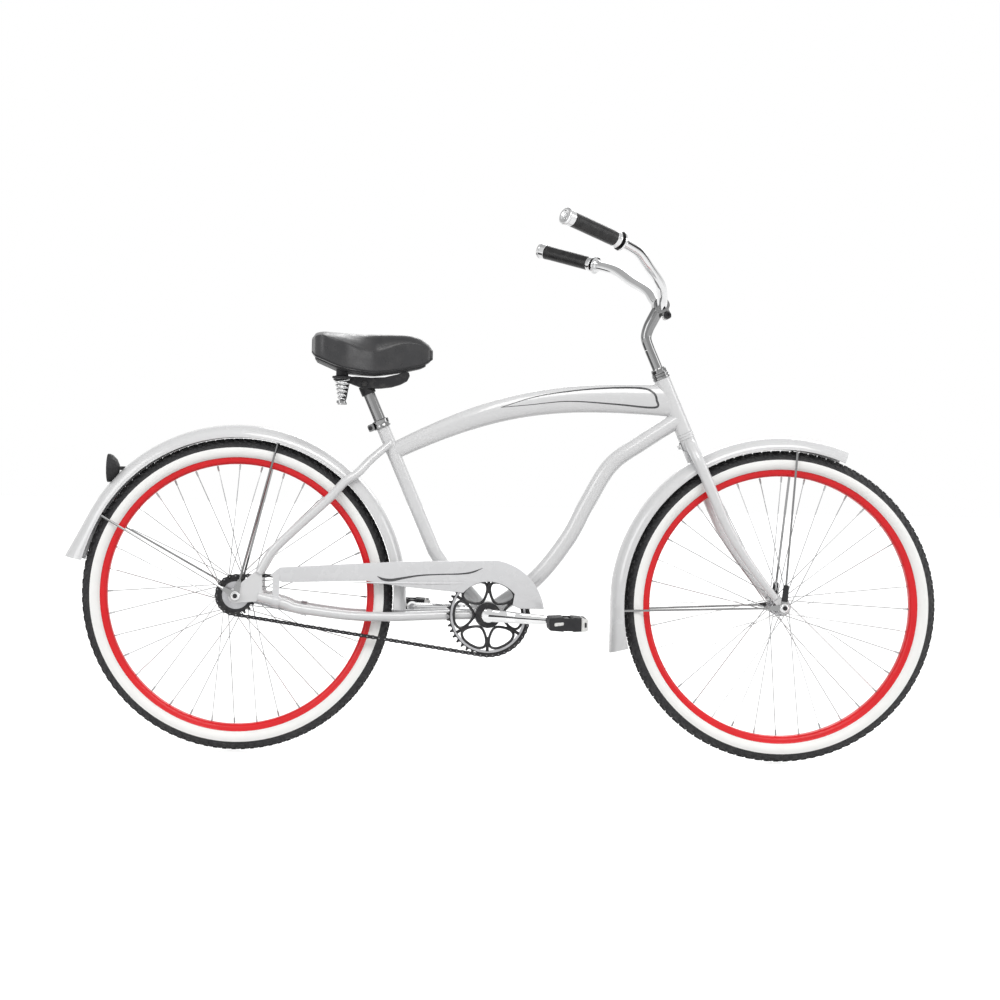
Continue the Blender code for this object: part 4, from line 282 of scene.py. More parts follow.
class Finish:
    """A material whose colour, gloss and relief are built up from nodes."""

    def __init__(self, name, colour, roughness, metallic=0.0, **more):
        self.material = bpy.data.materials.new(name)
        self.material.use_nodes = True
        self.tree = self.material.node_tree
        self.shader = self.tree.nodes["Principled BSDF"]
        self.put("Base Color", (*colour, 1))
        self.put("Roughness", roughness)
        self.put("Metallic", metallic)
        for socket, value in more.items():
            self.put(socket.replace("_", " "), value)
        self.material.diffuse_color = (*colour, 1)
        self.colour = colour
        self.relief = None
        self.place = None

    def put(self, socket, value):
        self.shader.inputs[socket].default_value = value

    def where(self):
        """The piece's own coordinates, in metres, which move with it."""
        if self.place is None:
            self.place = self.tree.nodes.new("ShaderNodeTexCoord")
        return self.place.outputs["Object"]

    def mottle(self, size, detail=4.0):
        """A noise whose blotches are about this size."""
        pattern = self.tree.nodes.new("ShaderNodeTexNoise")
        pattern.inputs["Scale"].default_value = 1 / size
        pattern.inputs["Detail"].default_value = detail
        pattern.inputs["Roughness"].default_value = 0.55
        self.tree.links.new(self.where(), pattern.inputs["Vector"])
        return pattern.outputs["Fac"]

    def span(self, value, low, high, start=0.3, end=0.7):
        """The value spread from start and end to low and high."""
        node = self.tree.nodes.new("ShaderNodeMapRange")
        node.inputs["From Min"].default_value = start
        node.inputs["From Max"].default_value = end
        node.inputs["To Min"].default_value = low
        node.inputs["To Max"].default_value = high
        self.tree.links.new(value, node.inputs["Value"])
        return node.outputs["Result"]

    def vary_roughness(self, size, low, high):
        gloss = self.span(self.mottle(size), low, high)
        self.tree.links.new(gloss, self.shader.inputs["Roughness"])

    def vary_colour(self, size, other, start=0.35, end=0.75):
        """Blotches of another colour over the base colour."""
        mix = self.tree.nodes.new("ShaderNodeMix")
        mix.data_type = "RGBA"
        mix.inputs["A"].default_value = (*self.colour, 1)
        mix.inputs["B"].default_value = (*other, 1)
        share = self.span(self.mottle(size), 0, 1, start, end)
        self.tree.links.new(share, mix.inputs["Factor"])
        self.tree.links.new(mix.outputs["Result"], self.shader.inputs["Base Color"])
        return self

    def bump(self, height, distance, strength=1.0):
        """Relief from a height between 0 and 1, this deep in metres."""
        node = self.tree.nodes.new("ShaderNodeBump")
        node.inputs["Strength"].default_value = strength
        node.inputs["Distance"].default_value = distance
        self.tree.links.new(height, node.inputs["Height"])
        if self.relief:
            self.tree.links.new(self.relief, node.inputs["Normal"])
        self.relief = node.outputs["Normal"]
        self.tree.links.new(self.relief, self.shader.inputs["Normal"])
        return self

    def cells(self, size):
        """Distance to the borders of grains about this size."""
        pattern = self.tree.nodes.new("ShaderNodeTexVoronoi")
        pattern.feature = "DISTANCE_TO_EDGE"
        pattern.inputs["Scale"].default_value = 1 / size
        self.tree.links.new(self.where(), pattern.inputs["Vector"])
        return pattern.outputs["Distance"]


def surface(name, colour, roughness, gloss, tint, relief, metallic=0.0, **more):
    """A material whose gloss (size, low, high), tint (size, colour) and relief (size, detail,
    depth) are blotchy."""
    finish = Finish(name, colour, roughness, metallic, **more)
    finish.vary_roughness(*gloss)
    finish.vary_colour(*tint)
    size, detail, depth = relief
    return finish.bump(finish.mottle(size, detail), depth).material


def stripe_paint():
    finish = Finish("stripe", (0.035, 0.035, 0.038), 0.3)
    finish.vary_roughness(0.01, 0.24, 0.4)
    return finish.vary_colour(0.006, (0.075, 0.075, 0.08)).material


def chrome(name, tone, roughness):
    colour = (tone, tone * 1.005, tone * 1.01)
    return surface(name, colour, roughness, (0.015, roughness * 0.7, roughness * 1.6),
                   (0.05, tuple(part * 0.88 for part in colour)), (0.04, 1, 0.00003), 1.0)


def steel(name, tone, roughness):
    colour = (tone, tone, tone * 1.03)
    return surface(name, colour, roughness, (0.006, roughness * 0.8, roughness * 1.4),
                   (0.02, tuple(part * 0.75 for part in colour)), (0.0012, 3, 0.00004), 1.0)


def cover_vinyl():
    """Grained vinyl, with a soft unevenness under the grain."""
    finish = Finish("cover_vinyl", (0.017, 0.017, 0.019), 0.3, Sheen_Weight=0.05)
    finish.vary_roughness(0.02, 0.24, 0.4)
    finish.vary_colour(0.025, (0.032, 0.031, 0.032), 0.45, 0.8)
    finish.bump(finish.cells(0.0016), 0.00022, 0.7)
    return finish.bump(finish.mottle(0.012, 3), 0.0003, 0.5).material


def pale_lens():
    finish = Finish("pale_lens", (0.75, 0.75, 0.73), 0.16, Coat_Weight=0.8, Coat_Roughness=0.04)
    finish.vary_roughness(0.004, 0.12, 0.26)
    finish.vary_colour(0.004, (0.54, 0.54, 0.5256))
    return finish.bump(finish.cells(0.003), 0.0003, 0.6).material


WHITE = surface("white_paint", (0.622, 0.624, 0.63), 0.24, (0.03, 0.2, 0.3),
                (0.12, (0.6, 0.603, 0.61)), (0.05, 1, 0.00004),
                Coat_Weight=1.0, Coat_Roughness=0.05)
GUARD = surface("guard_paint", (0.63, 0.633, 0.645), 0.26, (0.03, 0.2, 0.32),
                (0.1, (0.60, 0.603, 0.615)), (0.05, 1, 0.00004),
                Coat_Weight=0.9, Coat_Roughness=0.06)
STRIPE = stripe_paint()
RED = surface("red_paint", (0.72, 0.006, 0.012), 0.4, (0.02, 0.34, 0.48),
              (0.08, (0.64, 0.005, 0.010)), (0.04, 1, 0.00003),
              Coat_Weight=0.25, Coat_Roughness=0.12, Specular_IOR_Level=0.25)
CHROME = chrome("chrome", 0.66, 0.07)
# Chrome toned far darker than the bright chrome: painted shade for the dark surroundings that the
# post, stem, collar, nut, cup and stays mirror
SHADE_PAINTED_CHROME = chrome("shade_painted_chrome", 0.26, 0.08)
SPOKE_CHROME = chrome("spoke_chrome", 0.4, 0.16)
STEEL = steel("steel", 0.42, 0.32)
DARK_STEEL = steel("dark_steel", 0.2, 0.38)
BLACK = surface("black_steel", (0.018, 0.018, 0.02), 0.34, (0.008, 0.26, 0.5),
                (0.012, (0.06, 0.058, 0.055), 0.5, 0.8), (0.0015, 3, 0.00005), 0.55)
PLASTIC = surface("black_plastic", (0.014, 0.014, 0.016), 0.55, (0.01, 0.48, 0.64),
                  (0.03, (0.03, 0.03, 0.032)), (0.0009, 2, 0.00006), Specular_IOR_Level=0.3)
RUBBER = surface("tyre_rubber", (0.021, 0.021, 0.023), 0.72, (0.012, 0.62, 0.85),
                 (0.02, (0.042, 0.041, 0.041), 0.45, 0.8), (0.001, 3, 0.00012))
WALL = surface("whitewall", (0.90, 0.90, 0.885), 0.5, (0.02, 0.44, 0.6),
               (0.03, (0.85, 0.85, 0.835), 0.5, 0.85), (0.0015, 3, 0.00008))
GRIP = surface("grip_rubber", (0.007, 0.007, 0.008), 0.26, (0.02, 0.22, 0.32),
               (0.012, (0.03, 0.03, 0.03)), (0.003, 2, 0.00008), Specular_IOR_Level=0.28)
VINYL = cover_vinyl()
PALE_LENS = pale_lens()


# Making pieces

def piece(name, shape, materials, body, replaces=(), smooth=38):
    """An object from a bmesh, riding on a body and standing for the named solids."""
    mesh = bpy.data.meshes.new(name)
    bmesh.ops.remove_doubles(shape, verts=shape.verts, dist=0.001)
    bmesh.ops.recalc_face_normals(shape, faces=shape.faces)
    shape.to_mesh(mesh)
    shape.free()
    mesh.transform(Matrix.Scale(MM, 4))
    for material in materials if isinstance(materials, (list, tuple)) else [materials]:
        mesh.materials.append(material)
    mesh.shade_smooth()
    mesh.set_sharp_from_angle(angle=radians(smooth))
    thing = bpy.data.objects.new(name, mesh)
    bpy.context.scene.collection.objects.link(thing)
    if body:
        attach(thing, body)
    if replaces:
        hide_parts(*replaces)
    return thing


def stand_in(node, shape, materials, body, smooth=38):
    """A piece that is drawn in place of one of the bicycle's solids."""
    return piece(node + "_full", shape, materials, body, [node], smooth)


def basis(direction, upright=Z_AXIS):
    """Two unit vectors square to a direction and to each other."""
    side = direction.cross(upright)
    if side.length < 1e-6:
        side = direction.cross(X_AXIS)
    side.normalize()
    return side, side.cross(direction).normalized()


def skin(shape, rings, closed=False, round_rings=True, index=0, indices=None):
    """Faces between rings of as many points each. indices gives a material to each strip."""
    rows = [[shape.verts.new(point) for point in ring] for ring in rings]
    pairs = list(zip(rows, rows[1:]))
    if closed:
        pairs.append((rows[-1], rows[0]))
    width = len(rows[0])
    for first, second in pairs:
        for i in range(width if round_rings else width - 1):
            j = (i + 1) % width
            face = shape.faces.new((first[i], first[j], second[j], second[i]))
            face.material_index = indices[i] if indices else index
    if not closed:
        for row in (rows[0][::-1], rows[-1]):
            shape.faces.new(row).material_index = index


def lathe(shape, profile, origin, axis, steps=48, closed=True, index=0, indices=None):
    """A profile of (radius, height) turned about an axis."""
    side, up = basis(axis, Z_AXIS if abs(axis.z) < 0.9 else X_AXIS)
    rings = []
    for step in range(steps):
        turn = tau * step / steps
        out = side * cos(turn) + up * sin(turn)
        rings.append([origin + out * radius + axis * height for radius, height in profile])
    skin(shape, rings, closed=True, round_rings=closed, index=index, indices=indices)


def rings_along(path, radii, sides, closed=False):
    """Round sections along a path, their frame carried along without twisting."""
    count = len(path)
    if not isinstance(radii, (list, tuple)):
        radii = [radii] * count
    ahead = []
    for i in range(count):
        before = path[i - 1] if i or closed else path[0]
        after = path[(i + 1) % count] if i < count - 1 or closed else path[-1]
        ahead.append((after - before).normalized())
    side, _ = basis(ahead[0])
    rings = []
    for point, direction, radius in zip(path, ahead, radii):
        side = (side - direction * side.dot(direction)).normalized()
        up = side.cross(direction)
        rings.append([point + side * radius * cos(tau * k / sides)
                      + up * radius * sin(tau * k / sides) for k in range(sides)])
    return rings


def pipe(shape, path, radii, sides, closed=False, index=0):
    skin(shape, rings_along(path, radii, sides, closed), closed=closed, index=index)


def coped(ring, ahead, foot, axis, radius):
    """The last ring of a tube moved back onto the round tube that it is welded to."""
    across = ahead - axis * ahead.dot(axis)
    moved = []
    for point in ring:
        away = point - foot
        away -= axis * away.dot(axis)
        a, b = across.dot(across), away.dot(across)
        inside = max(0.0, b * b - a * (away.dot(away) - radius * radius))
        moved.append(point - ahead * (b + sqrt(inside)) / a)
    return moved


def clear_of(rings, foot, axis, reach):
    """The rings whose middle lies further than this from an axis."""
    kept = []
    for ring in rings:
        away = sum(ring, Vector()) / len(ring) - foot
        away -= axis * away.dot(axis)
        if away.length > reach:
            kept.append(ring)
    return kept


def fit_ends(rings, start, end=None):
    """Rings cut to the tubes at both ends, each given as its foot, axis, radius and reach."""
    first, last = rings[0], rings[-1]
    middle = rings[1:-1]
    for cope in (start, end):
        if cope:
            middle = clear_of(middle, cope[0], cope[1], cope[3])
    if start:
        ahead = (sum(first, Vector()) - sum(middle[0], Vector())).normalized()
        first = coped(first, ahead, *start[:3])
    if end:
        ahead = (sum(last, Vector()) - sum(middle[-1], Vector())).normalized()
        last = coped(last, ahead, *end[:3])
    return [first, *middle, last]


def rod(shape, start, end, radius, sides, end_radius=None, bevel=0, index=0):
    """A round bar with a small chamfer at both ends."""
    ahead = (end - start).normalized()
    last = radius if end_radius is None else end_radius
    if bevel:
        path = [start, start + ahead * bevel, end - ahead * bevel, end]
        pipe(shape, path, [radius - bevel, radius, last, last - bevel], sides, index=index)
    else:
        pipe(shape, [start, end], [radius, last], sides, index=index)


def smooth_path(points, spans):
    """Points of a Catmull-Rom curve through the given points."""
    ends = [points[0] * 2 - points[1], *points, points[-1] * 2 - points[-2]]
    path = []
    for a, b, c, d in zip(ends, ends[1:], ends[2:], ends[3:]):
        for step in range(spans):
            t = step / spans
            path.append((b * 2 + (c - a) * t + (a * 2 - b * 5 + c * 4 - d) * t * t
                         + (b * 3 - a - c * 3 + d) * t ** 3) / 2)
    path.append(points[-1])
    return path


def rounded(corners, radius):
    """A flat outline with its corners rounded off."""
    outline = []
    for i, corner in enumerate(corners):
        here = Vector(corner)
        start = here + (Vector(corners[i - 1]) - here).normalized() * radius
        end = here + (Vector(corners[(i + 1) % len(corners)]) - here).normalized() * radius
        for t in (0, 0.25, 0.5, 0.75, 1):
            outline.append(tuple(start * (1 - t) ** 2 + here * 2 * t * (1 - t) + end * t * t))
    return outline


def near(place, offsets):
    """Corners (x, z) in the bicycle's plane, given by their distances from a place."""
    return [(place.x + x, place.z + z) for x, z in offsets]


def arc(place, radius, first, last, steps):
    """Corners (x, z) round a place, between two angles in degrees."""
    turns = [radians(first + (last - first) * i / steps) for i in range(steps + 1)]
    return near(place, [(radius * cos(turn), radius * sin(turn)) for turn in turns])


def flattened(places):
    return [(place.x, place.z) for place in places]


def block(line, along, forward, length, depth, radius):
    """A rounded rectangle about a place on the steering or seat line, as (x, z) corners."""
    corners = [line(along + a * length / 2, forward + b * depth / 2)
               for a, b in ((-1, -1), (1, -1), (1, 1), (-1, 1))]
    return rounded(flattened(corners), radius)


def plate(shape, outline, y, thickness, index=0, bevel=0.4):
    """A flat plate across the bicycle's plane with a small chamfer, from (x, z) corners."""
    middle = Vector((sum(x for x, _ in outline), 0, sum(z for _, z in outline))) / len(outline)
    rings = []
    for side, inset in ((-1, bevel), (-1, 0), (1, 0), (1, bevel)):
        depth = side * (thickness / 2 - (bevel if not inset else 0))
        ring = []
        for x, z in outline:
            point = Vector((x, 0, z))
            point += (middle - point).normalized() * inset
            ring.append(point + Y_AXIS * (y + depth))
        rings.append(ring)
    skin(shape, rings, index=index)


def ribbon(shape, points, outs, widths, closed=False, index=0):
    """A thin flat line of paint along points on a surface, given the surface's outward ways."""
    count = len(points)
    rows = []
    for i in range(count):
        before = points[i - 1] if i or closed else points[0]
        after = points[(i + 1) % count] if i < count - 1 or closed else points[-1]
        across = outs[i].cross((after - before).normalized()) * widths[i] / 2
        rows.append([points[i] - across - outs[i] * 0.12, points[i] - across, points[i] + across,
                     points[i] + across - outs[i] * 0.12])
    skin(shape, rows, closed=closed, index=index)


def cross_rod(shape, place, first, last, radius, sides, bevel=0, index=0):
    """A rod across the bicycle, between two distances from a place."""
    start, end = place + Y_AXIS * first, place + Y_AXIS * last
    rod(shape, start, end, radius, sides, bevel=bevel, index=index)


def polar(hub, radius, angle, y):
    """A place by its distance and angle from a hub's axis."""
    return hub + Vector((radius * cos(angle), y, radius * sin(angle)))


def steer(along, forward=0.0, side=0.0):
    """A place by its distance along the steering axis, in front of it and to its left."""
    foot = FRONT_HUB - STEER_FORWARD * BLADE_RAKE
    return foot + STEER_UP * along + STEER_FORWARD * forward + Y_AXIS * side


def seat_line(along, forward=0.0):
    return SEAT_FOOT + SEAT_UP * along + SEAT_FORWARD * forward


# Wheels

TREAD_ROWS = ((-0.98, 8.5, 6.5, 0.3), (-0.58, 8.0, 6.5, 0.5), (-0.19, 8.5, 6.0, -0.5),
              (0.19, 8.5, 6.0, 0.5), (0.58, 8.0, 6.5, -0.5), (0.98, 8.5, 6.5, -0.3))
TREAD_BLOCKS = 104


def tyre_section(turn, lift=0.0):
    """A point (radius, y) of the tyre's outside, by angle from the crown."""
    rise = (TYRE_RADIUS - RIM_OUTER_RADIUS) * 0.62
    centre = TYRE_RADIUS - rise
    grown = rise - TREAD_HEIGHT + lift
    return centre + grown * cos(turn), (TYRE_HALF_WIDTH - 0.6 + lift * 0.5) * sin(turn)


def tread_block(shape, hub, around, turn, length, width, lean):
    """A low block on the tread, narrower at its top."""
    corners = []
    for lift, share in ((-0.6, 1), (TREAD_HEIGHT, 0.8)):
        radius, _ = tyre_section(turn, lift)
        ring = []
        for a, b in ((-1, -1), (1, -1), (1, 1), (-1, 1)):
            side = turn + b * width * share / 2 / TYRE_HALF_WIDTH
            out, y = tyre_section(side, lift)
            along = around + (a * length * share / 2 + lean * b * width / 2) / radius
            ring.append(polar(hub, out, along, y))
        corners.append([shape.verts.new(point) for point in ring])
    low, high = corners
    for i in range(4):
        j = (i + 1) % 4
        shape.faces.new((low[i], low[j], high[j], high[i]))
    shape.faces.new(high)


def tyre(prefix, hub):
    """A balloon tyre: bead, white side band with a small step at each edge, and block tread."""
    band_top = WHITEWALL_RADIUS
    outside = [tyre_section(radians(124) * (i / 22 - 1)) for i in range(45)]
    bead = RIM_HALF_WIDTH - 0.45
    profile = [(RIM_BED_RADIUS + 0.3, -RIM_BASE_HALF_WIDTH + 1.5), (RIM_OUTER_RADIUS, -bead)]
    profile += [point for point in outside if point[0] > RIM_OUTER_RADIUS + 0.5]
    profile += [(RIM_OUTER_RADIUS, bead), (RIM_BED_RADIUS + 0.3, RIM_BASE_HALF_WIDTH - 1.5)]
    stepped = []
    for first, second in zip(profile, profile[1:]):
        stepped.append(first)
        if (first[0] - band_top) * (second[0] - band_top) < 0:
            share = (band_top - first[0]) / (second[0] - first[0])
            y = first[1] + (second[1] - first[1]) * share
            inner = (band_top - 0.25, y + copysign(0.5, y))
            outer = (band_top + 0.25, y)
            stepped += [inner, outer] if second[0] > first[0] else [outer, inner]
    stepped.append(profile[-1])
    indices = []
    for first, second in zip(stepped, stepped[1:] + stepped[:1]):
        middle = (first[0] + second[0]) / 2
        white = RIM_OUTER_RADIUS - 2 < middle < band_top - 0.1 and abs(first[1]) > 14
        indices.append(1 if white else 0)
    shape = bmesh.new()
    lathe(shape, stepped, hub, Y_AXIS, WHEEL_STEPS, indices=indices)
    step = tau / TREAD_BLOCKS
    for row, (turn, length, width, lean) in enumerate(TREAD_ROWS):
        for i in range(TREAD_BLOCKS):
            around = step * (i + 0.5 * (row % 2))
            tread_block(shape, hub, around, turn, length, width, lean)
    stand_in(prefix + "_tyre", shape, [RUBBER, WALL], prefix + "_wheel", 30)


def rim_profile():
    """The rim's section, as (radius, y)."""
    half = [(RIM_INNER_RADIUS, 0), (RIM_INNER_RADIUS + 0.3, RIM_BASE_HALF_WIDTH * 0.6),
            (RIM_INNER_RADIUS + 1.6, RIM_BASE_HALF_WIDTH), (RIM_BED_RADIUS + 2, 14.4),
            (RIM_OUTER_RADIUS - 5, 15.6), (RIM_OUTER_RADIUS - 1.2, 16.2),
            (RIM_OUTER_RADIUS - 0.2, RIM_HALF_WIDTH), (RIM_OUTER_RADIUS - 0.8, 16.4),
            (RIM_BED_RADIUS + 1, 12), (RIM_BED_RADIUS - 1, 9), (RIM_BED_RADIUS - 2, 0)]
    return half + [(radius, -y) for radius, y in half[-2:0:-1]]


def spoke_ends(side, i, flange_y, flange_radius):
    """Where a spoke leaves its flange, where it meets the rim, and the way it leans."""
    step = tau / SPOKES_PER_SIDE
    leading = 1 if i % 2 == 0 else -1
    at_hub = step * (i + (0.5 if side > 0 else 0))
    at_rim = at_hub + leading * step * SPOKE_CROSSES
    start = polar(Vector(), flange_radius - 3, at_hub, side * flange_y + leading * SPOKE_OFFSET)
    end = polar(Vector(), RIM_INNER_RADIUS - 0.3, at_rim, side * SPOKE_RIM_Y)
    return start, end, leading


def spokes(prefix, hub, flange_y, flange_radius):
    """Bright wire spokes, each bent over at the flange, with a nipple at the rim."""
    shape = bmesh.new()
    for side in (-1, 1):
        for i in range(SPOKES_PER_SIDE):
            start, end, leading = spoke_ends(side, i, flange_y, flange_radius)
            start += hub
            end += hub
            ahead = (end - start).normalized()
            bend = start + ahead * 2.4
            seat = start - Y_AXIS * leading * (FLANGE_THICKNESS / 2 + 2.6)
            pipe(shape, [seat, start - Y_AXIS * leading * 0.6, bend, end], SPOKE_RADIUS, 8)
            cross_rod(shape, seat, leading * 0.8, -leading * 0.5, 1.9, 8, 0.3)
            rod(shape, end - ahead * 12, end - ahead * 1, 1.7, 8, 2.2, 0.3)
    piece(prefix + "_spokes", shape, SPOKE_CHROME, prefix + "_wheel")


def hub_shell(prefix, hub, flange_y, flange_radius, shell_radius, right_end, left_end, end_radius):
    """A turned hub with a rounded waist and two flanges, with dark steel plugs where the spoke
    holes lie: painted shade in place of drilled holes.
    """
    half = FLANGE_THICKNESS / 2
    waist = shell_radius * 0.93
    bore = AXLE_RADIUS + 0.4
    profile = [(bore, right_end), (end_radius - 0.8, right_end), (end_radius, right_end + 0.8)]
    profile += [(end_radius, -flange_y - half - 2), (end_radius + 2, -flange_y - half)]
    for sign in (-1, 1):
        profile += [(flange_radius - 0.7, sign * flange_y - half),
                    (flange_radius, sign * flange_y - half + 0.7),
                    (flange_radius, sign * flange_y + half - 0.7),
                    (flange_radius - 0.7, sign * flange_y + half)]
        if sign < 0:
            for share in (-1, -0.9, -0.7, -0.35, 0, 0.35, 0.7, 0.9, 1):
                bulge = waist + (shell_radius * 1.12 - waist) * abs(share) ** 6
                profile.append((bulge, share * (flange_y - half - 0.4)))
    profile += [(end_radius + 2, flange_y + half), (end_radius, flange_y + half + 2)]
    profile += [(end_radius, left_end - 0.8), (end_radius - 0.8, left_end), (bore, left_end)]
    shape = bmesh.new()
    lathe(shape, profile, hub, Y_AXIS, 64)
    for side in (-1, 1):
        for i in range(SPOKES_PER_SIDE):
            start, _, _ = spoke_ends(side, i, flange_y, flange_radius)
            place = hub + Vector((start.x, side * flange_y, start.z))
            # Dark steel plugs through the flanges: painted shade of the spoke holes
            cross_rod(shape, place, -half - 0.25, half + 0.25, 1.75, 10, 0.2, 1)
    stand_in(prefix + "_hub", shape, [STEEL, DARK_STEEL], prefix + "_wheel")


def axle(prefix, body, hub, inside, outer, collar_right, collar_left):
    """A threaded axle with its cones, and on each side a washer and a hex nut."""
    shape = bmesh.new()
    cross_rod(shape, hub, -outer - 11, outer + 11, AXLE_RADIUS, 20, index=1)
    for start, end in ((-inside, collar_right), (collar_left, inside)):
        cross_rod(shape, hub, start, end, 7.5, 24, 0.6)
    for side in (-1, 1):
        seat = hub + Y_AXIS * side * (outer + 0.3)
        cross_rod(shape, seat, 0, side * 1.6, 9.6, 28, 0.4)
        nut = [(AXLE_RADIUS, 1.6), (8.3, 1.6), (8.3, 7.2), (7.2, 8), (AXLE_RADIUS, 8)]
        lathe(shape, nut, seat, Y_AXIS * side, 6)
        lip = [(AXLE_RADIUS, 8), (6.8, 8), (6.2, 10), (AXLE_RADIUS, 10)]
        lathe(shape, lip, seat, Y_AXIS * side, 24)
    stand_in(prefix + "_axle", shape, [CHROME, BLACK], body, 30)


def rim(prefix, hub):
    shape = bmesh.new()
    lathe(shape, rim_profile(), hub, Y_AXIS, WHEEL_STEPS)
    stand_in(prefix + "_rim", shape, RED, prefix + "_wheel", 50)


def wheels():
    for prefix, hub in (("front", FRONT_HUB), ("rear", REAR_HUB)):
        tyre(prefix, hub)
        rim(prefix, hub)
    spokes("front", FRONT_HUB, FRONT_FLANGE_Y, FRONT_FLANGE_RADIUS)
    spokes("rear", REAR_HUB, REAR_FLANGE_Y, REAR_FLANGE_RADIUS)
    hub_shell("front", FRONT_HUB, FRONT_FLANGE_Y, FRONT_FLANGE_RADIUS, FRONT_SHELL_RADIUS,
              -36, 36, 9)
    hub_shell("rear", REAR_HUB, REAR_FLANGE_Y, REAR_FLANGE_RADIUS, REAR_SHELL_RADIUS,
              -36.2, 42.2, 17)
    axle("front", "fork", FRONT_HUB, 49.7, 59.6, -36.3, 36.3)
    axle("rear", "frame", REAR_HUB, 54.7, 64.6, -50.3, 45.8)


# Fenders

def fender(node, body, hub, front, tail):
    """A thin pressed shell whose edges are rolled over a wire."""
    shape = bmesh.new()
    rings = []
    edges = {-1: [], 1: []}
    for ring in range(FENDER_RINGS + 1):
        angle = front + (tail - front) * ring / FENDER_RINGS
        share = max(0.0, 1 - (tail - angle) / TAIL_SPREAD)
        flare = TAIL_FLARE * share ** 2
        skirt = FENDER_RADIUS - FENDER_DEPTH + flare * 0.2
        turns = [pi * (i / FENDER_SPANS - 0.5) for i in range(FENDER_SPANS + 1)]
        points = []
        for wall, order in ((0.0, turns), (FENDER_THICKNESS, turns[::-1])):
            rise = FENDER_DEPTH + FENDER_FULLNESS + flare * 0.8 - wall
            width = FENDER_HALF_WIDTH - wall
            for turn in order:
                points.append(polar(hub, skirt + rise * cos(turn), angle, width * sin(turn)))
        rings.append(points)
        for side in (-1, 1):
            edges[side].append(polar(hub, skirt, angle, side * (FENDER_HALF_WIDTH - 1.3)))
    skin(shape, rings)
    for side in (-1, 1):
        pipe(shape, edges[side], 1.5, 8)
    stand_in(node, shape, WHITE, body, 40)


def fender_strap():
    """The strip behind the crown that the front fender hangs from, held by a bolt."""
    shape = bmesh.new()
    rings = []
    for along, inset in ((348, 0), (368, 0), (398, 0), (401, 3)):
        half = 8 - inset
        rings.append([steer(along, forward, side) for forward, side in (
            (-17.5, -half), (-17.5, half), (-19.2, half), (-19.2, -half))])
    skin(shape, rings)
    bolt = 392
    rod(shape, steer(bolt, -19), steer(bolt, -20.2), 7, 24, bevel=0.3)
    rod(shape, steer(bolt, -20), steer(bolt, -25.2), 5, 6, bevel=0.5)
    piece("front_fender_strap", shape, CHROME, "fork")


def fenders():
    fender("rear_fender", "frame", REAR_HUB, radians(-4.2), radians(168.8))
    fender("front_fender", "fork", FRONT_HUB, radians(67.4), radians(196.5))
    fender_strap()


# Fork

CROWN_BOTTOM = 378
CROWN_TOP = 404
CROWN_RADIUS = 17
STEERER_RADIUS = 12.7
STEERER_TOP = 562
RAKE_START = 220
BLADE_RADIUS = 12
BLADE_TAPER = 4.5
BLADE_SPANS = 6
FORK_END_Y = 52.5
DROPOUT_THICKNESS = 5
BLADE_SHOULDER = ((13, 14), (6, 26), (-10, 38), (-33, 44.5))
BLADE_LEVELS = (300, 215, 175, 140, 105, 75, 48, 24)


def fork_crown():
    """The steerer with its crown, and the threads that stand out of the head tube."""
    foot = steer(0)
    profile = [(0, CROWN_BOTTOM), (CROWN_RADIUS - 3, CROWN_BOTTOM),
               (CROWN_RADIUS, CROWN_BOTTOM + 3), (CROWN_RADIUS, CROWN_TOP - 1.5),
               (CROWN_RADIUS - 1.5, CROWN_TOP), (STEERER_RADIUS, CROWN_TOP)]
    thread = STEERER_TOP - 24
    while thread < STEERER_TOP - 1:
        profile += [(STEERER_RADIUS, thread), (STEERER_RADIUS - 0.5, thread + 0.5)]
        thread += 1
    profile += [(STEERER_RADIUS - 0.6, STEERER_TOP), (11.2, STEERER_TOP),
                (11.2, STEERER_TOP - 20), (0, STEERER_TOP - 20)]
    shape = bmesh.new()
    lathe(shape, profile, foot, STEER_UP, 40, closed=False)
    stand_in("fork_steerer", shape, WHITE, "fork")


def rake(along):
    """How far in front of the steering axis the blade lies."""
    return BLADE_RAKE * max(0.0, 1 - along / RAKE_START) ** 1.6


def fork_blade(tag, side):
    """A blade that bends out of the crown, runs straight and curves forward to its dropout."""
    points = [steer(CROWN_BOTTOM + rise, 0, side * y) for rise, y in BLADE_SHOULDER]
    for level in BLADE_LEVELS:
        spread = 47.5 + 5 * (1 - level / BLADE_LEVELS[0])
        points.append(steer(level, rake(level), side * spread))
    path = smooth_path(points, BLADE_SPANS)
    count = len(path) - 1
    start = len(BLADE_SHOULDER) * BLADE_SPANS
    radii = [BLADE_RADIUS - BLADE_TAPER * max(0, i - start) / (count - start)
             for i in range(count + 1)]
    rings = rings_along(path, radii, 28)
    shape = bmesh.new()
    skin(shape, fit_ends(rings, (steer(0), STEER_UP, CROWN_RADIUS - 1, CROWN_RADIUS + 3)))
    shoulders = [steer(40, rake(40) + way * 5.5) for way in (1, -1)]
    dropout = flattened(shoulders) + arc(FRONT_HUB, 14, 170, 385, 18)
    plate(shape, dropout, side * FORK_END_Y, DROPOUT_THICKNESS)
    stand_in(f"fork_blade_{tag}", shape, WHITE, "fork", 40)


def head_piece(node, material, profile):
    """A piece of the frame turned about the steering axis."""
    shape = bmesh.new()
    lathe(shape, profile, steer(0), STEER_UP)
    stand_in(node, shape, material, "frame")


